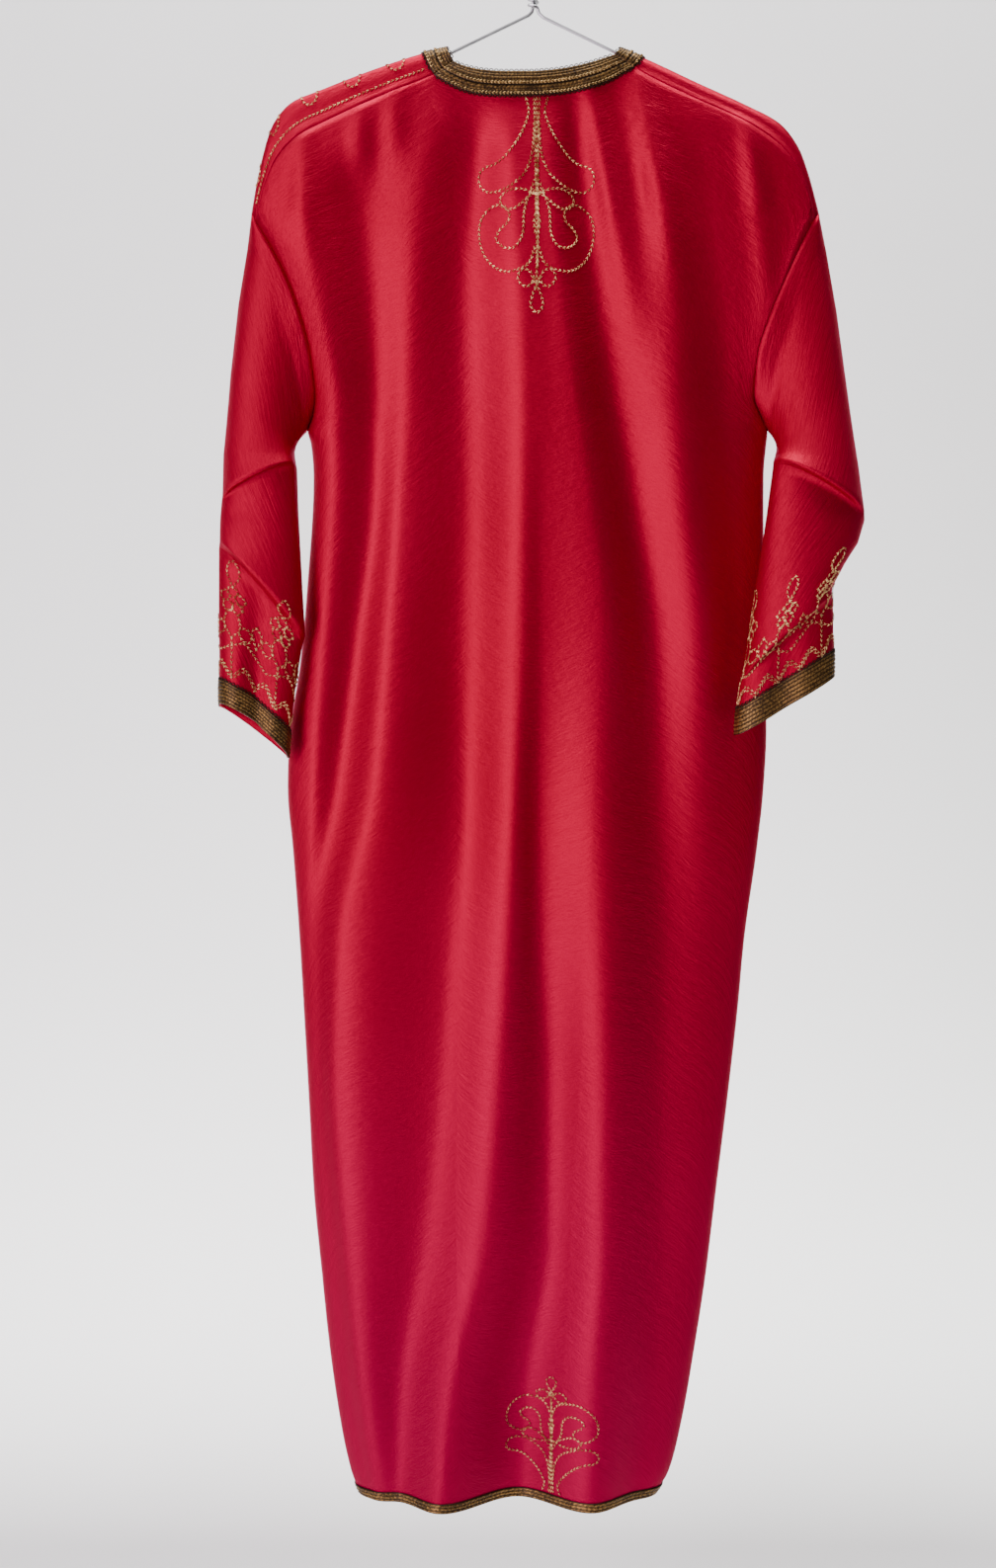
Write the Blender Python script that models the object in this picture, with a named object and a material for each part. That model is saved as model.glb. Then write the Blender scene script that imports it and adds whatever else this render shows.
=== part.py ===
"""A long red kaftan on a wire hanger, seen from its back as it hangs.

Metres, +Z up. The origin is the point inside the hanger's hook that bears on a rod.
-Y is the side that shows, the kaftan's back; +Y is its front; +X is the viewer's right.
Tables are in millimetres and are read through MM.
"""

import math
from collections import namedtuple

import bmesh
import bpy
import numpy as np
from mathutils import Vector
from mathutils.bvhtree import BVHTree

MM = 0.001

# Driving sizes
WALL = 2.0 * MM  # cloth wall
SEAM_GAP = 0.3 * MM  # between pieces that meet at a seam
BRAID_WALL = 1.8 * MM
NECK_BRAID_WIDTH = 20.5 * MM
CUFF_BRAID_WIDTH = 23.0 * MM
FRONT_BRAID_WIDTH = 20.5 * MM
HEM_Z = -1425 * MM
SHOULDER_TIP_Z = -268  # mm, the highest point of both armholes
ARMPIT_Z = -453  # mm
WIRE_RADIUS = 1.5 * MM
HOOK_INNER_RADIUS = 20.0 * MM
HOOK_NECK_Z = -78 * MM
HANGER_APEX_Z = -101 * MM

# How many cells each wall has
NECK_COLUMNS = 10  # the back's, along its neckline
SHOULDER_COLUMNS = 9
FRONT_NECK_X = [0.0, 10.4, 20.8, 38.6, 56.3]  # mm, the fronts' columns inside the neckline

# The body's outline, level by level: x of the left and right edge (armhole, then side seam),
# how deep the cloth stands towards the viewer (near) and the other way (far) in the middle,
# and how deep the armhole's own edge stands.
Level = namedtuple("Level", "z left right near far edge_near edge_far")
LEVELS = [
    Level(-130, -84, 84, 6, 6, 5, 5),
    Level(-141, -118, 99, 8, 8, 6, 6),
    Level(-157, -160, 136, 11, 10, 7, 7),
    Level(-173, -203, 171, 12, 12, 7, 7),
    Level(-193, -222, 212, 14, 13, 7, 7),
    Level(-226, -233, 233, 17, 16, 7, 7),
    Level(-268, -242, 246, 21, 19, 7, 7),
    Level(-275, -238, 241, 22, 20, 9, 8),
    Level(-298, -224, 229, 24, 22, 14, 13),
    Level(-326, -210, 216, 26, 24, 19, 17),
    Level(-356, -199, 203, 28, 25, 22, 20),
    Level(-390, -191, 193, 30, 27, 21, 19),
    Level(-423, -188, 191, 31, 28, 14, 13),
    Level(-442, -191, 199, 31, 28, 6, 6),
    Level(-453, -196, 205, 32, 28, 0, 0),
    Level(-464, -193, 204, 32, 29, 0, 0),
    Level(-490, -191, 202, 33, 29, 0, 0),
    Level(-594, -198, 204, 34, 30, 0, 0),
    Level(-660, -205, 206, 34, 31, 0, 0),
    Level(-721, -215, 208, 34, 32, 0, 0),
    Level(-770, -217, 206, 34, 33, 0, 0),
    Level(-823, -213, 201, 34, 33, 0, 0),
    Level(-904, -208, 191, 33, 34, 0, 0),
    Level(-968, -205, 186, 33, 34, 0, 0),
    Level(-1059, -201, 177, 32, 35, 0, 0),
    Level(-1133, -198, 169, 32, 36, 0, 0),
    Level(-1218, -191, 160, 31, 37, 0, 0),
    Level(-1284, -185, 151, 31, 38, 0, 0),
    Level(-1360, -175, 139, 30, 38, 0, 0),
    Level(-1405, -166, 128, 30, 38, 0, 0),
    Level(-1425, -158, 116, 30, 38, 0, 0),
]
# The heights at which the body's walls have a row of points, at the side edges
ROW_LEVELS = [-275, -298, -326, -356, -373, -390, -406, -423, -442, -453, -464, -490, -530,
              -575, -625, -680, -735, -790, -845, -905, -965, -1030, -1095, -1160, -1225,
              -1285, -1340, -1385, -1416, -1425]  # fmt: skip

# The near cloth's folds, height by height: where each line of the drape runs and how far it stands
# out (or in, below zero). Hollows and crests take turns from the left edge to the right one.
Drape = namedtuple(
    "Drape",
    "z edge_x edge dip_x dip fold_x fold hollow_x hollow main_x main"
    " cleft_x cleft second_x second fall_x fall third_x third rim_x rim",
)
DRAPE = [
    Drape(-190, -196, 3, -150, -4, -84, 1, -48, -5, -17, 3, 0, 3, 14, 4, 34, -4, 92, 2, 140, -4),
    Drape(-260, -198, 5, -146, -9, -98, -1, -55, -9, -12, 5, 2, 5, 18, 6, 42, -6, 110, 5, 150, -6),
    Drape(-340, -190, 8, -140, -12, -103, -3, -62, -11, -6, 7, 8, 7, 25, 8, 54, -7, 120, 6, 162, -7),
    Drape(-425, -178, 9, -136, -13, -107, -5, -60, -12, -4, 8, 10, 8, 36, 9, 70, -8, 126, 7, 170, -8),
    Drape(-510, -184, 9, -138, -13, -114, -4, -58, -12, -6, 8, 8, 7, 48, 9, 86, -9, 134, 7, 177, -8),
    Drape(-635, -190, 9, -154, -11, -124, 2, -62, -11, -8, 8, 8, 5, 62, 10, 106, -10, 150, 4, 182, -5),
    Drape(-765, -196, 5, -172, -6, -136, 9, -62, -10, -14, 9, 6, 0, 62, 11, 112, -10, 154, -2, 180, -4),
    Drape(-900, -203, 0, -194, -1, -168, 10, -74, -9, -20, 10, 8, -5, 66, 12, 120, -9, 160, -5, 178, -5),
    Drape(-1030, -199, 0, -192, 0, -176, 10, -84, -8, -28, 11, 14, -9, 68, 13, 120, -8, 160, -5, 170, -5),
    Drape(-1170, -188, 0, -182, 0, -166, 9, -98, -7, -40, 13, 14, -11, 68, 14, 122, -7, 150, -5, 160, -5),
    Drape(-1310, -178, 0, -170, 0, -154, 8, -118, -4, -72, 17, -6, -14, 62, 18, 116, -5, 136, -4, 146, -4),
    Drape(-1425, -156, 0, -150, 1, -140, 4, -122, 0, -84, 22, -12, -17, 58, 22, 100, 0, 108, 0, 114, 0),
]
DRAPE_START = 8  # mm below the shoulder seams and the neckline
DRAPE_FADE = 60  # mm over which the drape starts
# Shorter folds: where each runs, how far it stands out (or in, below zero) and how wide it is
Fold = namedtuple(
    "Fold", "name z_top x_top z_mid x_mid z_end x_end rise_top rise_mid rise_end width_top width_end"
)
NEAR_FOLDS = [
    Fold("left_shoulder", -205, -200, -260, -200, -330, -197, 4, 5, 0, 9, 12),
    Fold("left_gather", -180, -150, -215, -151, -270, -152, 3, 3.5, 0, 8, 12),
    Fold("left_inner_gather", -168, -120, -200, -121, -250, -122, 3, 3, 0, 8, 11),
    Fold("right_first", -165, 46, -260, 62, -400, 88, 4, 6, 1, 9, 14),
    Fold("right_valley", -160, 72, -240, 85, -330, 98, -2, -3, 0, 8, 10),
    Fold("right_second", -160, 88, -250, 106, -360, 124, 4, 6, 1, 9, 14),
    Fold("right_shoulder", -190, 178, -260, 190, -400, 203, 4, 6, 3, 9, 10),
]
FAR_FOLDS = [
    Fold("left_shoulder", -190, -150, -330, -146, -620, -152, 4, 7, 2, 12, 24),
    Fold("left_chest", -225, -96, -520, -104, -1425, -112, 3, 9, 22, 14, 27),
    Fold("left_valley", -230, -120, -760, -132, -1425, -142, -3, -7, -6, 12, 16),
    Fold("left_front", -300, -62, -760, -70, -1425, -66, -3, -8, -15, 16, 17),
    Fold("left_edge", -560, -26, -960, -28, -1425, -30, 2, 6, 12, 16, 20),
    Fold("right_edge", -520, 24, -960, 22, -1425, 14, 2, 6, 13, 16, 20),
    Fold("right_front", -290, 62, -720, 60, -1425, 48, -3, -8, -16, 16, 16),
    Fold("right_chest", -225, 92, -560, 98, -1425, 82, 3, 9, 22, 14, 26),
    Fold("right_valley", -240, 124, -700, 132, -1425, 108, -3, -6, -5, 13, 14),
    Fold("right_shoulder", -200, 152, -340, 156, -600, 168, 4, 6, 2, 12, 20),
]
FOLD_SHIFT = 0.30  # share of a fold's width by which its crest lies right of its lit side
FOLD_START = 55  # mm over which a fold starts
FOLD_END = 150  # mm over which it ends

COLUMN_SPREAD = 90  # mm below a seam where the columns are evenly spread

# The back neckline: its edge, from left to right
Neck = namedtuple("Neck", "x z")
NECK_BACK = [
    Neck(-68, -142.0), Neck(-59, -146.5), Neck(-43, -149.8), Neck(-25, -151.0), Neck(-3, -151.0),
    Neck(18, -149.6), Neck(40, -145.8), Neck(56, -141.4), Neck(69, -136.5),
]  # fmt: skip
NECK_EDGE_X = (-68, 69)  # where the shoulder seams meet the neckline
NECK_FRONT_DEPTH = 214  # mm below the origin, at the front opening
NECK_FRONT_POWER = 2.6

# The shoulder seams, on the back, from the neckline out to the armhole,
# and the shoulder's top line above each point of the seam
Shoulder = namedtuple("Shoulder", "x z top_x top_z")
LEFT_SHOULDER = [
    Shoulder(-68, -142, -74, -130.5),
    Shoulder(-86, -154, -93, -134.5),
    Shoulder(-126, -170, -133, -147),
    Shoulder(-178, -193, -184, -166),
    Shoulder(-201, -205, -206, -175),
    Shoulder(-219, -223, -223, -194),
    Shoulder(-230, -246, -234, -229),
    Shoulder(-238, -275, -242, -268),
]
RIGHT_SHOULDER = [
    Shoulder(69, -136.5, 75, -131),
    Shoulder(93, -152, 99, -140.5),
    Shoulder(135, -172, 140, -159),
    Shoulder(178, -191, 183, -178),
    Shoulder(207, -209, 211, -192.5),
    Shoulder(225, -228, 227, -212),
    Shoulder(234, -248, 236, -234),
    Shoulder(241, -275, 246, -268),
]
# The shoulder strip's cross-section from the seam over the top: share of the way to the seam, depth
STRIP_ROWS = [(1.0, None), (0.66, -8.4), (0.33, -7.4), (0.05, -4.2), (0.0, 0.0), (0.05, 4.2)]
FAR_SHOULDER_DROP = 7  # mm below the top line, where the front's own rows start
FAR_SHOULDER_DEPTH = 7.4  # mm

# Rings round each sleeve, from the one after the armhole down to the cuff: the outer and inner edge,
# the middle's depth, how far the cloth stands out towards the viewer and away, how the ring bows
# sideways and upwards on the near side, and how strongly the cuff's pleat shows.
Ring = namedtuple("Ring", "outer_x outer_z inner_x inner_z middle near far bow lift pleat")
LEFT_SLEEVE = [
    Ring(-246, -298, -203, -460, -1, 22, 19, 13, 0, 0),
    Ring(-254, -345, -206, -466, -5, 24, 19, 9, 0, 0),
    Ring(-261, -405, -207, -472, -11, 26, 19, 4, 0, 0),
    Ring(-267, -475, -206, -477, -18, 30, 18, 0, 4, 0),
    Ring(-268, -511, -205, -482, -21, 33, 17, 0, 6, 0),
    Ring(-269, -518, -204, -487, -23, 21, 17, 0, 11, 0),
    Ring(-270, -530, -203, -524, -26, 20, 17, 0, 4, 0),
    Ring(-270, -541, -200, -590, -29, 25, 18, 0, 6, 0),
    Ring(-270, -549, -198, -630, -30, 30, 18, 0, 9, 0.1),
    Ring(-271, -557, -201, -640, -30, 17, 18, 0, 13, 0.3),
    Ring(-272, -610, -207, -676, -30, 18, 18, 0, 7, 0.6),
    Ring(-272, -669, -212, -714, -31, 20, 17, 0, 9, 0.9),
    Ring(-272, -692, -214, -737, -32, 21, 16, 0, 12, 1),
]
RIGHT_SLEEVE = [
    Ring(253, -300, 212, -460, -1, 22, 19, -16, 0, 0),
    Ring(262, -350, 213, -465, -6, 24, 19, -11, 0, 0),
    Ring(272, -420, 212, -470, -13, 27, 19, -5, 0, 0),
    Ring(281, -485, 210, -475, -21, 31, 18, 0, 4, 0),
    Ring(286, -525, 208, -480, -26, 33, 17, 0, 9, 0),
    Ring(286, -532, 207, -487, -30, 21, 17, 0, 13, 0),
    Ring(280, -550, 202, -524, -35, 23, 17, 0, 5, 0),
    Ring(268, -567, 194, -580, -40, 26, 17, 0, 0, 0),
    Ring(257, -588, 184, -654, -44, 28, 17, 0, 6, 0),
    Ring(257, -596, 182, -664, -45, 28, 16, 0, 9, 0.1),
    Ring(258, -605, 179, -674, -46, 16, 16, 0, 12, 0.2),
    Ring(259, -641, 177, -692, -47, 18, 16, 0, 2, 0.4),
    Ring(259, -664, 176, -715, -47, 20, 16, 0, 0, 0.5),
]
PLEAT_PLACE = 0.55  # share of the way from the sleeve's outer edge to its inner one
PLEAT_WIDTH = 0.2
PLEAT_DEPTH = 11  # mm

EDGE_SHARPNESS = 3.2  # how square the body's sections are
EDGE_ROUNDNESS = 0.42


def read(rows, column, at, key="z"):
    """The value of a table's column at a height, on a smooth curve that never overshoots its rows."""
    keys = np.array([getattr(row, key) for row in rows], float)
    values = np.array([getattr(row, column) for row in rows], float)
    order = np.argsort(keys)
    keys, values = keys[order], values[order]
    slopes = np.diff(values) / np.diff(keys)
    tangents = np.zeros(len(keys))
    tangents[0], tangents[-1] = slopes[0], slopes[-1]
    same_way = slopes[:-1] * slopes[1:] > 0
    inner = np.zeros(len(slopes) - 1)
    inner[same_way] = 2 / (1 / slopes[:-1][same_way] + 1 / slopes[1:][same_way])
    tangents[1:-1] = inner
    at = np.clip(np.asarray(at, float), keys[0], keys[-1])
    i = np.clip(np.searchsorted(keys, at) - 1, 0, len(keys) - 2)
    span = keys[i + 1] - keys[i]
    t = (at - keys[i]) / span
    return (
        (2 * t**3 - 3 * t**2 + 1) * values[i]
        + (t**3 - 2 * t**2 + t) * span * tangents[i]
        + (3 * t**2 - 2 * t**3) * values[i + 1]
        + (t**3 - t**2) * span * tangents[i + 1]
    )


def smooth(x):
    """0 below 0, 1 above 1 and a soft step between."""
    x = np.clip(x, 0, 1)
    return x * x * (3 - 2 * x)


def through_three(z, z0, v0, z1, v1, z2, v2):
    """The parabola through three heights' values, held at its end values beyond them."""
    z = np.clip(z, min(z0, z2), max(z0, z2))
    return (
        v0 * (z - z1) * (z - z2) / ((z0 - z1) * (z0 - z2))
        + v1 * (z - z0) * (z - z2) / ((z1 - z0) * (z1 - z2))
        + v2 * (z - z0) * (z - z1) / ((z2 - z0) * (z2 - z1))
    )


def fold_height(folds, x, z):
    """How far a table's folds together stand out at x, z."""
    height = np.zeros(np.broadcast(x, z).shape)
    for f in folds:
        middle = through_three(z, f.z_top, f.x_top, f.z_mid, f.x_mid, f.z_end, f.x_end)
        middle = middle + FOLD_SHIFT * np.interp(z, [f.z_end, f.z_top], [f.width_end, f.width_top])
        rise = np.interp(z, [f.z_end, f.z_mid, f.z_top], [f.rise_end, f.rise_mid, f.rise_top])
        width = np.interp(z, [f.z_end, f.z_top], [f.width_end, f.width_top])
        started = smooth((f.z_top + FOLD_START / 2 - z) / FOLD_START)
        ended = smooth((z - f.z_end + FOLD_END / 2) / FOLD_END) if f.z_end > -1400 else 1.0
        height = height + rise * started * ended * np.exp(-(((x - middle) / width) ** 2))
    return height


def seam_height(x):
    """The height in mm of the back's top edge: the shoulder seams and the neckline between them."""
    edge = sorted((row.x, row.z) for row in LEFT_SHOULDER + NECK_BACK + RIGHT_SHOULDER)
    return np.interp(x, *np.transpose(edge))


def drape_height(x, z):
    """How far the near cloth stands out at x, z: soft steps from each line of the drape to the next."""
    lines = [(read(DRAPE, name + "_x", z), read(DRAPE, name, z)) for name in Drape._fields[2::2]]
    height = lines[0][1]
    for (x0, rise0), (x1, rise1) in zip(lines, lines[1:]):
        height = height + (rise1 - rise0) * smooth((x - x0) / (x1 - x0))
    return height * smooth((seam_height(x) - DRAPE_START - z) / DRAPE_FADE)


def section(s):
    """The body's cross-section: 0 at either edge, 1 in the middle."""
    return (1 - np.abs(np.clip(s, -1, 1)) ** EDGE_SHARPNESS) ** EDGE_ROUNDNESS


def body_depth(x, z, near):
    """The depth in mm of the near (back) or far (front) cloth at x, z."""
    left, right = read(LEVELS, "left", z), read(LEVELS, "right", z)
    s = (2 * x - left - right) / (right - left)
    edge = read(LEVELS, "edge_near" if near else "edge_far", z)
    middle = read(LEVELS, "near" if near else "far", z)
    across = section(s)
    folds = fold_height(NEAR_FOLDS if near else FAR_FOLDS, x, z) + (drape_height(x, z) if near else 0)
    depth = edge + (middle - edge) * across + folds * across
    return -depth if near else depth


def body_rows(column_top, side_z):
    """The heights of a column's points: they start at its own top and soon join the side edge's."""
    shift = column_top - side_z[0]
    return side_z + shift * (1 - np.clip((side_z[0] - side_z) / (3 * shift + 1), 0, 1))


def follow_top(x, z, top_x):
    """Columns that start at their own tops and join the body's even spread lower down."""
    return x + (top_x - x[0]) * (1 - smooth((z[0] - z) / COLUMN_SPREAD))


def grid_normals(points, outward, closed=False):
    """Unit normals of a grid of points, facing the way that outward gives at each."""
    if closed:
        across = np.roll(points, -1, axis=1) - np.roll(points, 1, axis=1)
    else:
        across = np.gradient(points, axis=1)
    down = np.gradient(points, axis=0)
    normals = np.cross(across, down)
    normals /= np.linalg.norm(normals, axis=-1, keepdims=True) + 1e-12
    if closed:
        return normals * np.sign((normals * outward).sum())
    flip = (normals * outward).sum(-1) < 0
    normals[flip] *= -1
    return normals


def unit(v):
    v = np.asarray(v, float)
    return v / np.linalg.norm(v, axis=-1, keepdims=True)


def wall(name, points, normals, material, used=None, thickness=WALL, closed=False):
    """A closed wall on the used cells of a grid of points (metres), half its thickness to each side."""
    rows, columns = points.shape[:2]
    last = columns if closed else columns - 1
    if used is None:
        used = np.ones((rows - 1, last), bool)
    middle = points.reshape(-1, 3)
    outer = (points + normals * thickness / 2).reshape(-1, 3)
    inner = (points - normals * thickness / 2).reshape(-1, 3)
    count = rows * columns

    def at(i, j):
        return i * columns + j % columns

    faces, edges = [], {}
    for i in range(rows - 1):
        for j in range(last):
            if not used[i, j]:
                continue
            ring = [at(i, j), at(i, j + 1), at(i + 1, j + 1), at(i + 1, j)]
            spans = [np.linalg.norm(middle[ring[k]] - middle[ring[k + 2]]) for k in (0, 1)]
            ring = ring[1:] + ring[:1] if spans[1] < spans[0] * 0.98 else ring
            for half in (ring[:3], [ring[2], ring[3], ring[0]]):
                faces.append(half)
                faces.append([count + v for v in reversed(half)])
            for a, b in zip(ring, ring[1:] + ring[:1]):
                edges[(a, b)] = edges.get((a, b), 0) + 1
    for a, b in edges:
        if (b, a) not in edges:
            faces.append([b, a, count + a, count + b])
    mesh = bpy.data.meshes.new(name)
    mesh.from_pydata(np.vstack([outer, inner]).tolist(), [], faces)
    drop_loose_points(mesh)
    turn_outwards(mesh)
    mesh.validate()
    obj = bpy.data.objects.new(name, mesh)
    bpy.context.scene.collection.objects.link(obj)
    mesh.materials.append(material)
    mesh.shade_smooth()
    mesh.set_sharp_from_angle(angle=math.radians(50))
    return obj


def drop_loose_points(mesh):
    bm = bmesh.new()
    bm.from_mesh(mesh)
    bmesh.ops.delete(bm, geom=[v for v in bm.verts if not v.link_faces], context="VERTS")
    bm.to_mesh(mesh)
    bm.free()


def turn_outwards(mesh):
    """Flips every face if the closed mesh encloses a negative volume."""
    mesh.calc_loop_triangles()
    volume = 0.0
    for triangle in mesh.loop_triangles:
        a, b, c = (mesh.vertices[v].co for v in triangle.vertices)
        volume += a.dot(b.cross(c))
    if volume < 0:
        mesh.flip_normals()


def finish(name, colour, roughness, metallic=0.0):
    material = bpy.data.materials.new(name)
    material.use_nodes = True
    shader = material.node_tree.nodes["Principled BSDF"]
    shader.inputs["Base Color"].default_value = (*colour, 1)
    shader.inputs["Roughness"].default_value = roughness
    shader.inputs["Metallic"].default_value = metallic
    return material


# Armholes
def armhole_turn(z):
    """How far round the armhole a height is: 0 at the shoulder, pi at the armpit."""
    share = np.clip((SHOULDER_TIP_Z - np.asarray(z, float)) / (SHOULDER_TIP_Z - ARMPIT_Z), 0, 1)
    return np.arccos(1 - 2 * share)


def outward_of(side):
    return np.array([-1.0 if side == "left" else 1.0, 0.0, 0.0])


def armhole_normal(side, turn):
    """Out of the cloth at the armhole, half way between the body's own direction and the sleeve's."""
    turn = np.asarray(turn, float)[..., None]
    up, near = np.cos(turn), np.sin(turn)
    lean = np.where(up > 0, 0.6, 0.9) * up**2
    return unit(up * [0, 0, 1] + near * [0, -1, 0] + lean * outward_of(side))


def edge_normals(side, near):
    """Normals along a body panel's side edge: the armhole's, then straight out to the side."""
    levels = np.array(ROW_LEVELS, float)
    turn = armhole_turn(levels)
    at_armhole = armhole_normal(side, turn if near else 2 * math.pi - turn)
    below = smooth((ARMPIT_Z - levels) / 11)[:, None]
    return unit(at_armhole * (1 - below) + outward_of(side) * below)


def clear_of_side_seam(points, column, near):
    """Puts a side edge half the seam's gap off the seam's plane."""
    edge = points[:, column]
    at_seam = np.abs(edge[:, 1]) < SEAM_GAP / 2 / MM
    edge[at_seam, 1] = (-1 if near else 1) * SEAM_GAP / 2 / MM


def armhole_loop(side, back, front):
    """Points (mm) and turns round an armhole, from the panels' own edges, tip and near side first."""
    over = len(STRIP_ROWS)
    pit = ROW_LEVELS.index(ARMPIT_Z)
    near = back[:, 0 if side == "left" else -1]
    far = front[over:, -1]
    strip = front[:over, -1]
    points = [strip[4], strip[3], strip[2], strip[1], *near[:pit], far[pit], *far[:pit][::-1], strip[5]]
    points = np.array(points) * 1.0
    turn = armhole_turn(points[:, 2])
    first_far = 4 + pit + 1
    turn[first_far:] = 2 * math.pi - turn[first_far:]
    points[first_far - 1, 1] = 0.0
    return points, turn


# Back
def seam_stations(side):
    """The fronts' and the back's shared columns along a shoulder, from the neckline out."""
    rows = LEFT_SHOULDER if side == "left" else RIGHT_SHOULDER
    share = np.linspace(0, 1, SHOULDER_COLUMNS + 1)
    share = 0.35 * share + 0.65 * np.sin(share * math.pi / 2)
    top_x = rows[0].top_x + (rows[-1].top_x - rows[0].top_x) * share
    columns = [read(rows, c, top_x, key="top_x") for c in ("x", "z", "top_z")]
    return np.stack([*columns[:2], top_x, columns[2]], -1)


def back_points():
    """The back's grid in mm: its top edge is the shoulder seams and the neckline."""
    left, right = seam_stations("left"), seam_stations("right")
    neck_x = np.linspace(NECK_EDGE_X[0], NECK_EDGE_X[1], NECK_COLUMNS + 1)[1:-1]
    neck = np.stack([neck_x, read(NECK_BACK, "z", neck_x, key="x")], -1)
    top = np.vstack([left[::-1, :2], neck, right[:, :2]])
    share = (top[:, 0] - top[0, 0]) / (top[-1, 0] - top[0, 0])
    z = np.stack([body_rows(t, np.array(ROW_LEVELS, float)) for t in top[:, 1]], -1)
    x = read(LEVELS, "left", z) * (1 - share) + read(LEVELS, "right", z) * share
    x = follow_top(x, z, top[:, 0])
    return np.stack([x, body_depth(x, z, True), z], -1)


def make_back(cloth):
    points = back_points()
    clear_of_side_seam(points, 0, True)
    clear_of_side_seam(points, -1, True)
    normals = grid_normals(points, np.array([0.0, -1.0, 0.0]))
    normals[:, 0] = edge_normals("left", True)
    normals[:, -1] = edge_normals("right", True)
    normals[0, 1:-1] = unit([0.0, -1.0, 0.12])
    wall("back", points * MM, normals, cloth)
    return points, normals


# Fronts
def front_neck_z(side, x):
    """The front neckline: low at the opening and steep near the shoulder."""
    rows = LEFT_SHOULDER if side == "left" else RIGHT_SHOULDER
    corner_z = rows[0].top_z - FAR_SHOULDER_DROP
    share = np.abs(x / rows[0].top_x) ** NECK_FRONT_POWER
    return -NECK_FRONT_DEPTH + (corner_z + NECK_FRONT_DEPTH) * share


def front_points(side):
    """A front's grid in mm: rows over the shoulder from its seam, then rows down to the hem."""
    sign = outward_of(side)[0]
    stations = seam_stations(side)
    neck_x = np.array(FRONT_NECK_X) * sign
    inside = len(neck_x)
    seam_x, seam_z, line_x, line_z = np.vstack([np.repeat(stations[:1], inside, 0), stations]).T
    levels = np.array(ROW_LEVELS, float)
    over = len(STRIP_ROWS)
    top_x = np.concatenate([neck_x, stations[:, 2]])
    band = FRONT_NECK_X[2] * sign
    share = np.clip((top_x - band) / (top_x[-1] - band), 0, None)
    first = np.where(np.arange(len(top_x)) < inside, front_neck_z(side, top_x), line_z - FAR_SHOULDER_DROP)
    z = np.stack([body_rows(t, levels) for t in first], -1)
    x = follow_top(band + (read(LEVELS, side, z) - band) * share, z, top_x)
    x[:, :3] = neck_x[:3]
    y = body_depth(x, z, False)
    y[0, inside:-1] = FAR_SHOULDER_DEPTH
    grid = np.zeros((over + len(levels), len(top_x), 3))
    grid[over:] = np.stack([x, y, z], -1)
    seam_y = body_depth(seam_x, seam_z, True)
    for i, (part, depth) in enumerate(STRIP_ROWS):
        grid[i, :, 0] = line_x + (seam_x - line_x) * part
        grid[i, :, 1] = seam_y if depth is None else depth * np.minimum(1.0, -seam_y / 8)
        grid[i, :, 2] = line_z + (seam_z - line_z) * part
    return grid


def make_front(side, cloth):
    points = front_points(side)
    over, inside = len(STRIP_ROWS), len(FRONT_NECK_X)
    clear_of_side_seam(points[over:], -1, False)
    points[over:, 0, 0] += outward_of(side)[0] * SEAM_GAP / MM
    facing = np.zeros(points.shape)
    facing[..., 1] = 1.0
    facing[: over - 2, :, 1] = -1.0
    facing[over - 2 : over] = (0.0, 0.0, 1.0)
    normals = grid_normals(points, facing)
    normals[over:, -1] = edge_normals(side, False)
    turn = armhole_turn(points[:over, -1, 2])
    normals[:over, -1] = armhole_normal(side, np.where(points[:over, -1, 1] > 0, -turn, turn))
    normals[0, inside:-1] = unit([0.0, -1.0, 0.12])
    normals[over:, 0] = (0.0, 1.0, 0.0)
    panel = points.copy()
    panel[0] += unit(points[1] - points[0] + [0, 0, 1e-9]) * SEAM_GAP / MM
    used = np.ones((points.shape[0] - 1, points.shape[1] - 1), bool)
    used[:over, :inside] = False
    wall(f"front_{side}", panel * MM, normals, cloth, used)
    return points, normals


# Sleeves
def table_ring(ring, turn):
    """A ring of the sleeve in mm, from a row of its table."""
    share = (1 - np.cos(turn)) / 2
    depth = np.sign(np.sin(turn)) * np.abs(np.sin(turn)) ** 0.8
    near, far = np.clip(depth, 0, 1), np.clip(-depth, 0, 1)
    pleat = ring.pleat * PLEAT_DEPTH * np.exp(-(((share - PLEAT_PLACE) / PLEAT_WIDTH) ** 2))
    x = ring.outer_x + (ring.inner_x - ring.outer_x) * share + ring.bow * near
    z = ring.outer_z + (ring.inner_z - ring.outer_z) * share + ring.lift * near
    y = ring.middle - ring.near * near + ring.far * far + pleat * near
    return np.stack([x, y, z], -1)


def sleeve_ring(side, along, turn):
    """The sleeve's points in mm at a place along it: 1 is its table's first row."""
    rings = LEFT_SLEEVE if side == "left" else RIGHT_SLEEVE
    low = min(int(along) - 1, len(rings) - 2)
    part = along - 1 - low
    first, second = np.array(rings[low]), np.array(rings[low + 1])
    return table_ring(Ring(*(first * (1 - part) + second * part)), turn)


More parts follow.
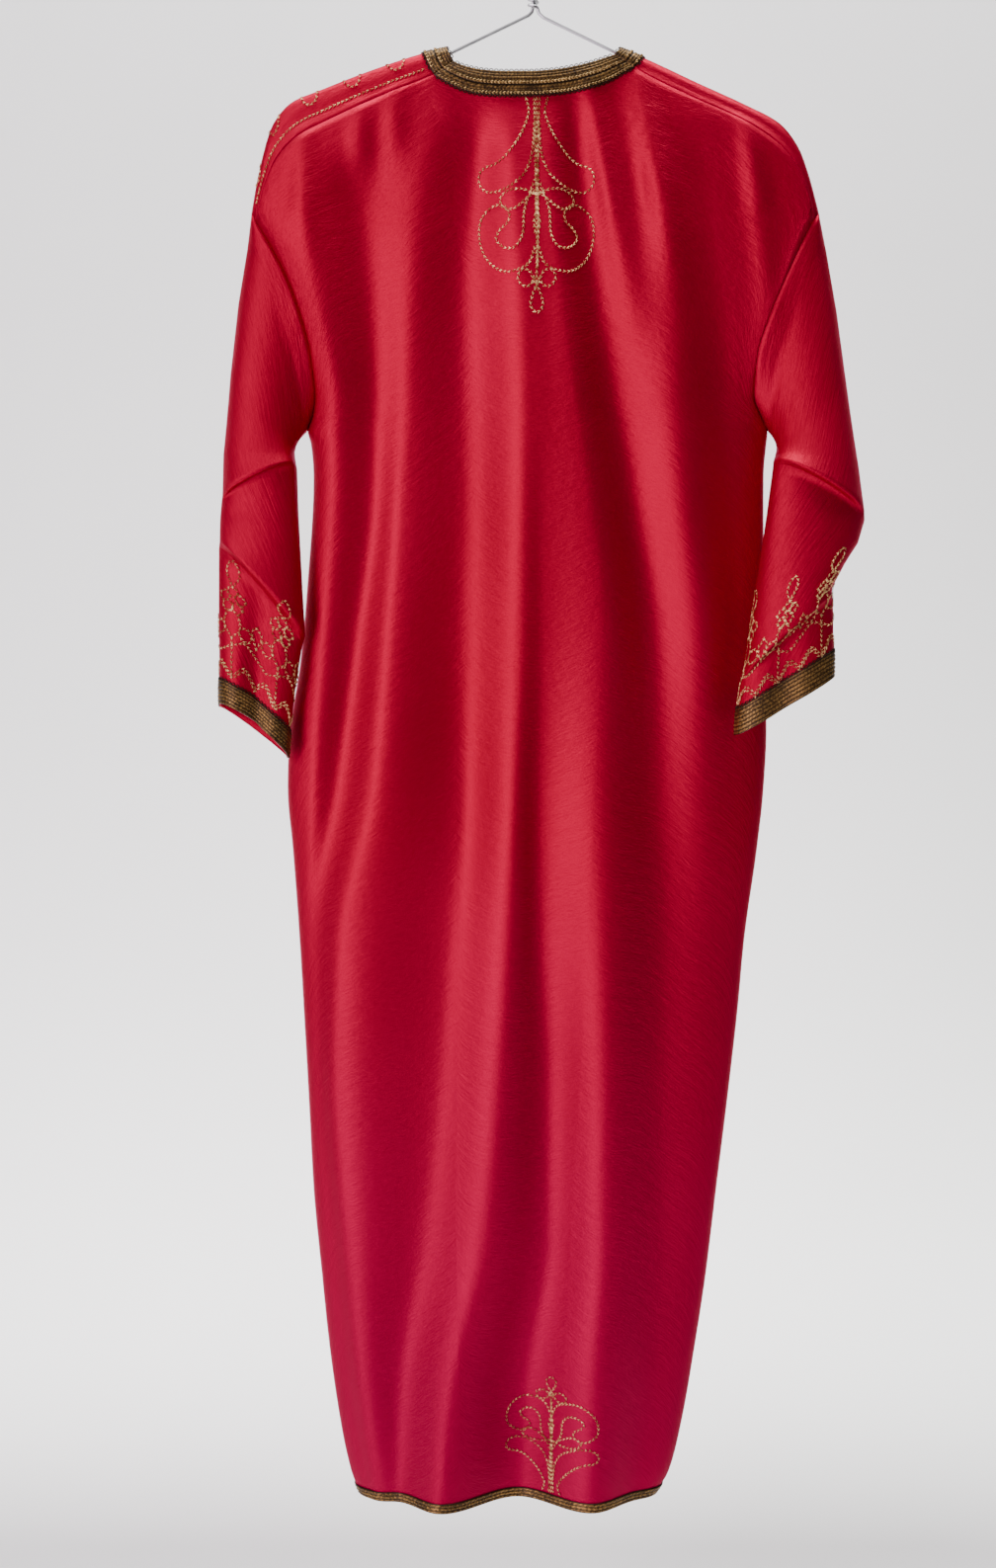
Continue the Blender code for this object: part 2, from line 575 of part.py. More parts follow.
def make_sleeve(side, back, front, cloth):
    count = len(LEFT_SLEEVE)
    loop, turn = armhole_loop(side, back, front)
    normal = armhole_normal(side, turn)
    along_loop = np.roll(loop, -1, axis=0) - np.roll(loop, 1, axis=0)
    clear = unit(np.cross(along_loop, normal))
    clear *= np.sign(clear @ outward_of(side))[:, None]
    loop = loop + clear * SEAM_GAP / MM
    first = sleeve_ring(side, 1, turn)
    places = [*np.arange(1, count - 1, 0.5), count - 1, count]
    rings = [loop, (loop + first) / 2, *(sleeve_ring(side, a, turn) for a in places)]
    points = np.array(rings)
    normals = grid_normals(points, points - points.mean(axis=1, keepdims=True), closed=True)
    normals[0] = normal
    wall(f"sleeve_{side}", points * MM, normals, cloth, closed=True)
    return points, normals


# Braids
def lay_on(name, points, normals, braid, gap=SEAM_GAP, used=None, closed=False):
    """A braid that lies on a panel: the panel's points moved out clear of its wall."""
    middle = points + normals * (WALL / 2 + gap + BRAID_WALL / 2) / MM
    wall(name, middle * MM, normals, braid, used, BRAID_WALL, closed)


def between(rows_a, rows_b, share):
    return rows_a + (rows_b - rows_a) * share


def make_hem_braid(back, left, right, braid):
    """One strip all round the hem, from one edge of the front opening to the other."""
    parts = [[grid[-2:] for grid in panel] for panel in (left, back, right)]
    (left_points, left_normals), (back_points, back_normals), (right_points, right_normals) = parts
    points = [left_points, back_points[:, 1:-1], right_points[:, ::-1]]
    normals = [left_normals, back_normals[:, 1:-1], right_normals[:, ::-1]]
    points, normals = np.concatenate(points, axis=1), np.concatenate(normals, axis=1)
    lay_on("hem_braid", points, normals, braid, gap=2 * SEAM_GAP)


def make_cuff_braid(side, sleeve, braid):
    points, normals = sleeve
    lay_on(f"cuff_braid_{side}", points[-2:], normals[-2:], braid, closed=True)


def cut_at(points, normals, row, other, z):
    """Moves a row of points along its columns, towards another row, to a height."""
    share = ((points[row, :, 2] - z) / (points[row, :, 2] - points[other, :, 2]))[:, None]
    points[row] = between(points[row], points[other], share)
    normals[row] = unit(between(normals[row], normals[other], share))


def make_front_braid(side, front, braid):
    """Down a front's edge, over its first two columns, from the neck braid to the hem braid."""
    over = len(STRIP_ROWS)
    points, normals = (grid[over:-1, :3].copy() for grid in front)
    cut_at(points, normals, 0, 1, -NECK_FRONT_DEPTH - NECK_BRAID_WIDTH / MM - 0.7)
    cut_at(points, normals, -1, -2, points[-1, :, 2].max() + 0.5)
    lay_on(f"front_braid_{side}", points, normals, braid)


def depth_on(points, x, z, towards):
    """The depth (mm) of a panel's grid at each x, z, found straight along Y."""
    rows, columns = points.shape[:2]
    corners = [i * columns + j for i in range(rows - 1) for j in range(columns - 1)]
    triangles = [t for c in corners for t in ((c, c + 1, c + columns), (c + 1, c + columns + 1, c + columns))]
    tree = BVHTree.FromPolygons(points.reshape(-1, 3).tolist(), triangles)
    start = [(a, -400.0 * towards, b) for a, b in zip(x, z)]
    hits = [tree.ray_cast(Vector(s), Vector((0, towards, 0)))[0] for s in start]
    return np.array([h[1] for h in hits])


def away_from_neck(points, middle):
    """For each point of a neckline, the direction in the panel's plane that leads off the hole."""
    along = np.gradient(points[:, [0, 2]], axis=0)
    off = unit(np.stack([along[:, 1], -along[:, 0]], -1))
    off *= np.sign(((points[:, [0, 2]] - middle) * off).sum(-1))[:, None]
    return off


def make_back_neck_braid(back, braid):
    """Round the back neckline, from one shoulder seam to the other."""
    points = back[0]
    first = SHOULDER_COLUMNS
    edge = points[0, first : first + NECK_COLUMNS + 1]
    off = away_from_neck(edge, np.array([0.0, -40.0]))
    off[0] = unit(points[0, first - 1] - points[0, first])[[0, 2]]
    off[-1] = unit(points[0, first + NECK_COLUMNS + 1] - points[0, first + NECK_COLUMNS])[[0, 2]]
    off[[1, -2]] = unit(off[[1, -2]] + 0.45 * off[[0, -1]])
    low = edge.copy()
    low[:, [0, 2]] += off * NECK_BRAID_WIDTH / MM
    low[:, 2] -= 0.2
    middle = (edge + low) / 2
    for row in (middle, low):
        row[:, 1] = depth_on(points, row[:, 0], row[:, 2], 1)
    grid = np.stack([edge, middle, low])
    grid[:, [0, -1], 2] -= SEAM_GAP / MM
    normals = grid_normals(grid, np.array([0.0, -1.0, 0.0]))
    normals[:, [0, -1]] = unit([0.0, -1.0, 0.12])
    lay_on("neck_braid_back", grid, normals, braid, gap=4 * SEAM_GAP)


def make_front_neck_braid(side, front, braid):
    """Over the shoulder strip from its seam, then round the front neckline to the opening."""
    points = front[0]
    over, inside = len(STRIP_ROWS), len(FRONT_NECK_X)
    width = NECK_BRAID_WIDTH / MM
    strip = points[: over + 1, inside : inside + 2]
    length = np.linalg.norm(strip[:, 1] - strip[:, 0], axis=-1)[:, None]
    strip_out = between(strip[:, 0], strip[:, 1], width / length)
    edge = points[over, : inside + 1][::-1]
    off = away_from_neck(edge, np.array([0.0, -60.0]))
    off[-1] = (0.0, -1.0)
    low = edge.copy()
    low[:, [0, 2]] += off * width
    low[-1, 0] = edge[-1, 0]
    middle = (edge + low) / 2
    for row in (middle, low):
        row[1:, 1] = depth_on(points[over:], row[1:, 0] + outward_of(side)[0] * 0.01, row[1:, 2], -1)
    inner = np.vstack([strip[:, 0], edge[1:]])
    outer = np.vstack([strip_out, low[1:]])
    centre = np.vstack([(strip[:, 0] + strip_out) / 2, middle[1:]])
    grid = np.stack([inner, centre, outer])
    grid[:, 0] += unit(grid[:, 1] - grid[:, 0]) * 2 * SEAM_GAP / MM
    facing = np.zeros(grid.shape)
    facing[..., 1] = 1.0
    facing[:, : over - 2, 1] = -1.0
    facing[:, over - 2 : over] = (0.0, 0.0, 1.0)
    normals = grid_normals(grid, facing)
    normals[:, 0] = unit([0.0, -1.0, 0.12])
    lay_on(f"neck_braid_{side}", grid, normals, braid, gap=4 * SEAM_GAP)


# Hanger
End = namedtuple("End", "x z start finish")
HANGER_ENDS = [End(-205, -186.5, 110, 268), End(207, -203, -88, 65)]  # round arcs, degrees
HANGER_END_RADIUS = 6  # mm
LEFT_ARM_X_Z = (-74, -136)
RIGHT_ARM_X_Z = (76, -136.5)
TWIST_TURNS = 4
TWIST_PITCH = 4.6  # mm
WIRE_SIDES = 8


def arc(x, z, radius, start, finish, steps):
    """Points of an arc in the hanger's plane, in mm, from one angle to another in degrees."""
    a = np.radians(np.linspace(start, finish, steps))
    return np.stack([x + radius * np.cos(a), 0 * a, z + radius * np.sin(a)], -1)


def hanger_path():
    """The wire's middle line in mm: hook, neck, round the triangle, then wound up the neck."""
    radius = (HOOK_INNER_RADIUS + WIRE_RADIUS) / MM
    hook = arc(0, -HOOK_INNER_RADIUS / MM, radius, 195, -28, 20)
    neck = [(10.5, 0, -47), (3.5, 0, -58), (0.4, 0, -68), (0, 0, -78), (0, 0, -96), (-1.2, 0, -100.5)]
    left_end, right_end = HANGER_ENDS
    round_left = arc(left_end.x, left_end.z, HANGER_END_RADIUS, left_end.start, left_end.finish, 8)
    round_right = arc(right_end.x, right_end.z, HANGER_END_RADIUS, right_end.start, right_end.finish, 8)
    left_arm = [(-4, 0, -103.3), (LEFT_ARM_X_Z[0], 0, LEFT_ARM_X_Z[1])]
    right_arm = [(RIGHT_ARM_X_Z[0], 0, RIGHT_ARM_X_Z[1]), (9, 0, -105), (5, 0, -101.5)]
    path = [*hook, *neck, *left_arm, *round_left, *round_right, *right_arm]
    around = 2 * WIRE_RADIUS / MM + 0.5
    for step in np.linspace(0, 1, TWIST_TURNS * 8 + 1):
        a = step * TWIST_TURNS * 2 * math.pi
        z = -97.0 + step * TWIST_TURNS * TWIST_PITCH
        path.append((around * math.cos(a), -around * math.sin(a), z))
    return np.array(path, float)


def tube(name, path, radius, sides, material):
    """A closed round tube along a path in metres."""
    along = unit(np.gradient(path, axis=0))
    across = np.array([0.0, 1.0, 0.0])
    rings = []
    for p, d in zip(path, along):
        across = unit(across - d * (across @ d))
        other = np.cross(d, across)
        turn = np.linspace(0, 2 * math.pi, sides, endpoint=False)[:, None]
        rings.append(p + radius * (np.cos(turn) * across + np.sin(turn) * other))
    points = np.array(rings)
    faces = []
    for i in range(len(path) - 1):
        for j in range(sides):
            k = (j + 1) % sides
            faces.append([i * sides + j, i * sides + k, (i + 1) * sides + k, (i + 1) * sides + j])
    faces.append(list(range(sides))[::-1])
    faces.append([(len(path) - 1) * sides + j for j in range(sides)])
    mesh = bpy.data.meshes.new(name)
    mesh.from_pydata(points.reshape(-1, 3).tolist(), [], faces)
    turn_outwards(mesh)
    obj = bpy.data.objects.new(name, mesh)
    bpy.context.scene.collection.objects.link(obj)
    mesh.materials.append(material)
    mesh.shade_smooth()
    mesh.set_sharp_from_angle(angle=math.radians(50))
    return obj


def main():
    for obj in list(bpy.data.objects):
        bpy.data.objects.remove(obj)
    cloth = finish("red_satin", (0.50, 0.0, 0.035), 0.42)
    braid = finish("gold_braid", (0.33, 0.23, 0.11), 0.45, 0.6)
    steel = finish("wire", (0.50, 0.50, 0.51), 0.35, 1.0)
    back = make_back(cloth)
    fronts = {side: make_front(side, cloth) for side in ("left", "right")}
    for side, front in fronts.items():
        sleeve = make_sleeve(side, back[0], front[0], cloth)
        make_cuff_braid(side, sleeve, braid)
        make_front_braid(side, front, braid)
        make_front_neck_braid(side, front, braid)
    make_back_neck_braid(back, braid)
    make_hem_braid(back, fronts["left"], fronts["right"], braid)
    tube("hanger", hanger_path() * MM, WIRE_RADIUS, WIRE_SIDES, steel)


main()
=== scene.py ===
"""The looks of a long red kaftan of crepe satin, edged with gold braid, on a wire hanger.

The shape tables are those of the part's source, in millimetres, read through MM.
-Y is the side that shows in the photograph, the kaftan's back.
"""

import math
from collections import namedtuple

import bpy
import numpy as np
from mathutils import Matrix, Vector
from mathutils.bvhtree import BVHTree


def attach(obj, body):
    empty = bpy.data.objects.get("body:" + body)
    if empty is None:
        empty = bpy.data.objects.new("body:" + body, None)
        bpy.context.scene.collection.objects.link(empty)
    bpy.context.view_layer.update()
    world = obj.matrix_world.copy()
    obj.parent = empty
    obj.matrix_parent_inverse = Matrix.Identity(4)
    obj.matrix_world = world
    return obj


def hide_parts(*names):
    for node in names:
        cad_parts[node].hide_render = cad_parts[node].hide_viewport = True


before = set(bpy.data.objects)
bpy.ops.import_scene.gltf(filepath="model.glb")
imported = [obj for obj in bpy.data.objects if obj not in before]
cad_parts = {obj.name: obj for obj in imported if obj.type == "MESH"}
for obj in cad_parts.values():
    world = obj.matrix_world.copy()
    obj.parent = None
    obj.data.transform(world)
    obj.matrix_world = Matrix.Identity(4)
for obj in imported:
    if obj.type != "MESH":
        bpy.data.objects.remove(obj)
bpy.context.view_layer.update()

MM = 0.001
SHOULDER_TIP_Z = -268  # mm, the highest point of both armholes
ARMPIT_Z = -453  # mm
SEAM_GAP = 0.3  # mm
ARMHOLE_GAP = 0.1  # mm, too little for the wall behind to shine through
CLOTH = 0.8  # mm, the satin's thickness as it shows
NECK_BRAID_WIDTH = 20.5  # mm
FRONT_BRAID_WIDTH = 20.8  # mm
ROW_STEP = 6.0  # mm between the cloth's rows
FINER = 4  # fine columns for each column of the solids
NECK_COLUMNS = 10  # the back's, along its neckline
SHOULDER_COLUMNS = 9
FRONT_NECK_X = [0.0, 10.4, 20.8, 38.6, 56.3]  # mm, the fronts' columns inside the neckline

# The body's outline, level by level: x of the left and right edge (armhole, then side seam),
# how deep the cloth stands towards the viewer (near) and the other way (far) in the middle,
# and how deep the armhole's own edge stands.
Level = namedtuple("Level", "z left right near far edge_near edge_far")
LEVELS = [
    Level(-130, -84, 84, 6, 6, 5, 5),
    Level(-141, -118, 99, 8, 8, 6, 6),
    Level(-157, -160, 136, 11, 10, 7, 7),
    Level(-173, -203, 171, 12, 12, 7, 7),
    Level(-193, -222, 212, 14, 13, 7, 7),
    Level(-226, -233, 233, 17, 16, 7, 7),
    Level(-268, -242, 246, 21, 19, 7, 7),
    Level(-275, -238, 241, 22, 20, 9, 8),
    Level(-298, -224, 229, 24, 22, 14, 13),
    Level(-326, -210, 216, 26, 24, 19, 17),
    Level(-356, -199, 203, 28, 25, 22, 20),
    Level(-390, -191, 193, 30, 27, 21, 19),
    Level(-423, -188, 191, 31, 28, 14, 13),
    Level(-442, -191, 199, 31, 28, 6, 6),
    Level(-453, -196, 205, 32, 28, 0, 0),
    Level(-464, -193, 204, 32, 29, 0, 0),
    Level(-490, -191, 202, 33, 29, 0, 0),
    Level(-594, -198, 204, 34, 30, 0, 0),
    Level(-660, -205, 206, 34, 31, 0, 0),
    Level(-721, -215, 208, 34, 32, 0, 0),
    Level(-770, -217, 206, 34, 33, 0, 0),
    Level(-823, -213, 201, 34, 33, 0, 0),
    Level(-904, -208, 191, 33, 34, 0, 0),
    Level(-968, -205, 186, 33, 34, 0, 0),
    Level(-1059, -201, 177, 32, 35, 0, 0),
    Level(-1133, -198, 169, 32, 36, 0, 0),
    Level(-1218, -191, 160, 31, 37, 0, 0),
    Level(-1284, -185, 151, 31, 38, 0, 0),
    Level(-1360, -175, 139, 30, 38, 0, 0),
    Level(-1405, -166, 128, 30, 38, 0, 0),
    Level(-1425, -158, 116, 30, 38, 0, 0),
]
# The heights at which the body's walls have a row of points, at the side edges
ROW_LEVELS = [-275, -298, -326, -356, -373, -390, -406, -423, -442, -453, -464, -490, -530,
              -575, -625, -680, -735, -790, -845, -905, -965, -1030, -1095, -1160, -1225,
              -1285, -1340, -1385, -1416, -1425]  # fmt: skip

# The near cloth's folds, height by height: where each line of the drape runs and how far it stands
# out (or in, below zero). Hollows and crests take turns from the left edge to the right one.
Drape = namedtuple(
    "Drape",
    "z edge_x edge dip_x dip fold_x fold hollow_x hollow main_x main"
    " cleft_x cleft second_x second fall_x fall third_x third rim_x rim",
)
DRAPE = [
    Drape(-190, -196, 3, -150, -4, -84, 1, -48, -5, -17, 3, 0, 3, 14, 4, 34, -4, 92, 2, 140, -4),
    Drape(-260, -198, 5, -146, -9, -98, -1, -55, -9, -12, 5, 2, 5, 18, 6, 42, -6, 110, 5, 150, -6),
    Drape(-340, -190, 8, -140, -12, -103, -3, -62, -11, -6, 7, 8, 7, 25, 8, 54, -7, 120, 6, 162, -7),
    Drape(-425, -178, 9, -136, -13, -107, -5, -60, -12, -4, 8, 10, 8, 36, 9, 70, -8, 126, 7, 170, -8),
    Drape(-510, -184, 9, -138, -13, -114, -4, -58, -12, -6, 8, 8, 7, 48, 9, 86, -9, 134, 7, 177, -8),
    Drape(-635, -190, 9, -154, -11, -124, 2, -62, -11, -8, 8, 8, 5, 62, 10, 106, -10, 150, 4, 182, -5),
    Drape(-765, -196, 5, -172, -6, -136, 9, -62, -10, -14, 9, 6, 0, 62, 11, 112, -10, 154, -2, 180, -4),
    Drape(-900, -203, 0, -194, -1, -168, 10, -74, -9, -20, 10, 8, -5, 66, 12, 120, -9, 160, -5, 178, -5),
    Drape(-1030, -199, 0, -192, 0, -176, 10, -84, -8, -28, 11, 14, -9, 68, 13, 120, -8, 160, -5, 170, -5),
    Drape(-1170, -188, 0, -182, 0, -166, 9, -98, -7, -40, 13, 14, -11, 68, 14, 122, -7, 150, -5, 160, -5),
    Drape(-1310, -178, 0, -170, 0, -154, 8, -118, -4, -72, 17, -6, -14, 62, 18, 116, -5, 136, -4, 146, -4),
    Drape(-1425, -156, 0, -150, 1, -140, 4, -122, 0, -84, 22, -12, -17, 58, 22, 100, 0, 108, 0, 114, 0),
]
DRAPE_START = 8  # mm below the shoulder seams and the neckline
DRAPE_FADE = 60  # mm over which the drape starts
# Shorter folds: where each runs, how far it stands out (or in, below zero) and how wide it is
Fold = namedtuple(
    "Fold", "name z_top x_top z_mid x_mid z_end x_end rise_top rise_mid rise_end width_top width_end"
)
NEAR_FOLDS = [
    Fold("left_shoulder", -205, -200, -260, -200, -330, -197, 4, 5, 0, 9, 12),
    Fold("left_gather", -180, -150, -215, -151, -270, -152, 3, 3.5, 0, 8, 12),
    Fold("left_inner_gather", -168, -120, -200, -121, -250, -122, 3, 3, 0, 8, 11),
    Fold("right_first", -165, 46, -260, 62, -400, 88, 4, 6, 1, 9, 14),
    Fold("right_valley", -160, 72, -240, 85, -330, 98, -2, -3, 0, 8, 10),
    Fold("right_second", -160, 88, -250, 106, -360, 124, 4, 6, 1, 9, 14),
    Fold("right_shoulder", -190, 178, -260, 190, -400, 203, 4, 6, 3, 9, 10),
]
FAR_FOLDS = [
    Fold("left_shoulder", -190, -150, -330, -146, -620, -152, 4, 7, 2, 12, 24),
    Fold("left_chest", -225, -96, -520, -104, -1425, -112, 3, 9, 22, 14, 27),
    Fold("left_valley", -230, -120, -760, -132, -1425, -142, -3, -7, -6, 12, 16),
    Fold("left_front", -300, -62, -760, -70, -1425, -66, -3, -8, -15, 16, 17),
    Fold("left_edge", -560, -26, -960, -28, -1425, -30, 2, 6, 12, 16, 20),
    Fold("right_edge", -520, 24, -960, 22, -1425, 14, 2, 6, 13, 16, 20),
    Fold("right_front", -290, 62, -720, 60, -1425, 48, -3, -8, -16, 16, 16),
    Fold("right_chest", -225, 92, -560, 98, -1425, 82, 3, 9, 22, 14, 26),
    Fold("right_valley", -240, 124, -700, 132, -1425, 108, -3, -6, -5, 13, 14),
    Fold("right_shoulder", -200, 152, -340, 156, -600, 168, 4, 6, 2, 12, 20),
]
FOLD_SHIFT = 0.30  # share of a fold's width by which its crest lies right of its lit side
FOLD_START = 55  # mm over which a fold starts
FOLD_END = 150  # mm over which it ends

COLUMN_SPREAD = 90  # mm below a seam where the columns are evenly spread

# The back neckline: its edge, from left to right
Neck = namedtuple("Neck", "x z")
NECK_BACK = [
    Neck(-68, -142.0), Neck(-59, -146.5), Neck(-43, -149.8), Neck(-25, -151.0), Neck(-3, -151.0),
    Neck(18, -149.6), Neck(40, -145.8), Neck(56, -141.4), Neck(69, -136.5),
]  # fmt: skip
NECK_EDGE_X = (-68, 69)  # where the shoulder seams meet the neckline
NECK_FRONT_DEPTH = 214  # mm below the origin, at the front opening
NECK_FRONT_POWER = 2.6

# The shoulder seams, on the back, from the neckline out to the armhole,
# and the shoulder's top line above each point of the seam
Shoulder = namedtuple("Shoulder", "x z top_x top_z")
LEFT_SHOULDER = [
    Shoulder(-68, -142, -74, -130.5),
    Shoulder(-86, -154, -93, -134.5),
    Shoulder(-126, -170, -133, -147),
    Shoulder(-178, -193, -184, -166),
    Shoulder(-201, -205, -206, -175),
    Shoulder(-219, -223, -223, -194),
    Shoulder(-230, -246, -234, -229),
    Shoulder(-238, -275, -242, -268),
]
RIGHT_SHOULDER = [
    Shoulder(69, -136.5, 75, -131),
    Shoulder(93, -152, 99, -140.5),
    Shoulder(135, -172, 140, -159),
    Shoulder(178, -191, 183, -178),
    Shoulder(207, -209, 211, -192.5),
    Shoulder(225, -228, 227, -212),
    Shoulder(234, -248, 236, -234),
    Shoulder(241, -275, 246, -268),
]
# The shoulder strip's cross-section from the seam over the top: share of the way to the seam, depth
STRIP_ROWS = [(1.0, None), (0.66, -8.4), (0.33, -7.4), (0.05, -4.2), (0.0, 0.0), (0.05, 4.2)]
FAR_SHOULDER_DROP = 7  # mm below the top line, where the front's own rows start
FAR_SHOULDER_DEPTH = 7.4  # mm

# Rings round each sleeve, from the one after the armhole down to the cuff: the outer and inner edge,
# the middle's depth, how far the cloth stands out towards the viewer and away, how the ring bows
# sideways and upwards on the near side, and how strongly the cuff's pleat shows.
Ring = namedtuple("Ring", "outer_x outer_z inner_x inner_z middle near far bow lift pleat")
LEFT_SLEEVE = [
    Ring(-246, -298, -203, -460, -1, 22, 19, 13, 0, 0),
    Ring(-254, -345, -206, -466, -5, 24, 19, 9, 0, 0),
    Ring(-261, -405, -207, -472, -11, 26, 19, 4, 0, 0),
    Ring(-267, -475, -206, -477, -18, 30, 18, 0, 4, 0),
    Ring(-268, -511, -205, -482, -21, 33, 17, 0, 6, 0),
    Ring(-269, -518, -204, -487, -23, 21, 17, 0, 11, 0),
    Ring(-270, -530, -203, -524, -26, 20, 17, 0, 4, 0),
    Ring(-270, -541, -200, -590, -29, 25, 18, 0, 6, 0),
    Ring(-270, -549, -198, -630, -30, 30, 18, 0, 9, 0.1),
    Ring(-271, -557, -201, -640, -30, 17, 18, 0, 13, 0.3),
    Ring(-272, -610, -207, -676, -30, 18, 18, 0, 7, 0.6),
    Ring(-272, -669, -212, -714, -31, 20, 17, 0, 9, 0.9),
    Ring(-272, -692, -214, -737, -32, 21, 16, 0, 12, 1),
]
RIGHT_SLEEVE = [
    Ring(253, -300, 212, -460, -1, 22, 19, -16, 0, 0),
    Ring(262, -350, 213, -465, -6, 24, 19, -11, 0, 0),
    Ring(272, -420, 212, -470, -13, 27, 19, -5, 0, 0),
    Ring(281, -485, 210, -475, -21, 31, 18, 0, 4, 0),
    Ring(286, -525, 208, -480, -26, 33, 17, 0, 9, 0),
    Ring(286, -532, 207, -487, -30, 21, 17, 0, 13, 0),
    Ring(280, -550, 202, -524, -35, 23, 17, 0, 5, 0),
    Ring(268, -567, 194, -580, -40, 26, 17, 0, 0, 0),
    Ring(257, -588, 184, -654, -44, 28, 17, 0, 6, 0),
    Ring(257, -596, 182, -664, -45, 28, 16, 0, 9, 0.1),
    Ring(258, -605, 179, -674, -46, 16, 16, 0, 12, 0.2),
    Ring(259, -641, 177, -692, -47, 18, 16, 0, 2, 0.4),
    Ring(259, -664, 176, -715, -47, 20, 16, 0, 0, 0.5),
]
PLEAT_PLACE = 0.55  # share of the way from the sleeve's outer edge to its inner one
PLEAT_WIDTH = 0.2
PLEAT_DEPTH = 11  # mm

EDGE_SHARPNESS = 3.2  # how square the body's sections are
EDGE_ROUNDNESS = 0.42


def read(rows, column, at, key="z"):
    """The value of a table's column at a height, on a smooth curve that never overshoots its rows."""
    keys = np.array([getattr(row, key) for row in rows], float)
    values = np.array([getattr(row, column) for row in rows], float)
    order = np.argsort(keys)
    keys, values = keys[order], values[order]
    slopes = np.diff(values) / np.diff(keys)
    tangents = np.zeros(len(keys))
    tangents[0], tangents[-1] = slopes[0], slopes[-1]
    same_way = slopes[:-1] * slopes[1:] > 0
    inner = np.zeros(len(slopes) - 1)
    inner[same_way] = 2 / (1 / slopes[:-1][same_way] + 1 / slopes[1:][same_way])
    tangents[1:-1] = inner
    at = np.clip(np.asarray(at, float), keys[0], keys[-1])
    i = np.clip(np.searchsorted(keys, at) - 1, 0, len(keys) - 2)
    span = keys[i + 1] - keys[i]
    t = (at - keys[i]) / span
    return (
        (2 * t**3 - 3 * t**2 + 1) * values[i]
        + (t**3 - 2 * t**2 + t) * span * tangents[i]
        + (3 * t**2 - 2 * t**3) * values[i + 1]
        + (t**3 - t**2) * span * tangents[i + 1]
    )


def smooth(x):
    """0 below 0, 1 above 1 and a soft step between."""
    x = np.clip(x, 0, 1)
    return x * x * (3 - 2 * x)


def through_three(z, z0, v0, z1, v1, z2, v2):
    """The parabola through three heights' values, held at its end values beyond them."""
    z = np.clip(z, min(z0, z2), max(z0, z2))
    return (
        v0 * (z - z1) * (z - z2) / ((z0 - z1) * (z0 - z2))
        + v1 * (z - z0) * (z - z2) / ((z1 - z0) * (z1 - z2))
        + v2 * (z - z0) * (z - z1) / ((z2 - z0) * (z2 - z1))
    )


def fold_height(folds, x, z):
    """How far a table's folds together stand out at x, z."""
    height = np.zeros(np.broadcast(x, z).shape)
    for f in folds:
        middle = through_three(z, f.z_top, f.x_top, f.z_mid, f.x_mid, f.z_end, f.x_end)
        middle = middle + FOLD_SHIFT * np.interp(z, [f.z_end, f.z_top], [f.width_end, f.width_top])
        rise = np.interp(z, [f.z_end, f.z_mid, f.z_top], [f.rise_end, f.rise_mid, f.rise_top])
        width = np.interp(z, [f.z_end, f.z_top], [f.width_end, f.width_top])
        started = smooth((f.z_top + FOLD_START / 2 - z) / FOLD_START)
        ended = smooth((z - f.z_end + FOLD_END / 2) / FOLD_END) if f.z_end > -1400 else 1.0
        height = height + rise * started * ended * np.exp(-(((x - middle) / width) ** 2))
    return height


def seam_height(x):
    """The height in mm of the back's top edge: the shoulder seams and the neckline between them."""
    edge = sorted((row.x, row.z) for row in LEFT_SHOULDER + NECK_BACK + RIGHT_SHOULDER)
    return np.interp(x, *np.transpose(edge))


def drape_height(x, z):
    """How far the near cloth stands out at x, z: soft steps from each line of the drape to the next."""
    lines = [(read(DRAPE, name + "_x", z), read(DRAPE, name, z)) for name in Drape._fields[2::2]]
    height = lines[0][1]
    for (x0, rise0), (x1, rise1) in zip(lines, lines[1:]):
        height = height + (rise1 - rise0) * smooth((x - x0) / (x1 - x0))
    return height * smooth((seam_height(x) - DRAPE_START - z) / DRAPE_FADE)


def section(s):
    """The body's cross-section: 0 at either edge, 1 in the middle."""
    return (1 - np.abs(np.clip(s, -1, 1)) ** EDGE_SHARPNESS) ** EDGE_ROUNDNESS


def body_depth(x, z, near):
    """The depth in mm of the near (back) or far (front) cloth at x, z."""
    left, right = read(LEVELS, "left", z), read(LEVELS, "right", z)
    s = (2 * x - left - right) / (right - left)
    edge = read(LEVELS, "edge_near" if near else "edge_far", z)
    middle = read(LEVELS, "near" if near else "far", z)
    across = section(s)
    folds = fold_height(NEAR_FOLDS if near else FAR_FOLDS, x, z) + (drape_height(x, z) if near else 0)
    depth = edge + (middle - edge) * across + folds * across
    return -depth if near else depth


def body_rows(column_top, side_z):
    """The heights of a column's points: they start at its own top and soon join the side edge's."""
    shift = column_top - side_z[0]
    return side_z + shift * (1 - np.clip((side_z[0] - side_z) / (3 * shift + 1), 0, 1))


def follow_top(x, z, top_x):
    """Columns that start at their own tops and join the body's even spread lower down."""
    return x + (top_x - x[0]) * (1 - smooth((z[0] - z) / COLUMN_SPREAD))


def grid_normals(points, outward, closed=False):
    """Unit normals of a grid of points, facing the way that outward gives at each."""
    if closed:
        across = np.roll(points, -1, axis=1) - np.roll(points, 1, axis=1)
    else:
        across = np.gradient(points, axis=1)
    down = np.gradient(points, axis=0)
    normals = np.cross(across, down)
    normals /= np.linalg.norm(normals, axis=-1, keepdims=True) + 1e-12
    if closed:
        return normals * np.sign((normals * outward).sum())
    flip = (normals * outward).sum(-1) < 0
    normals[flip] *= -1
    return normals


def unit(v):
    v = np.asarray(v, float)
    return v / np.linalg.norm(v, axis=-1, keepdims=True)


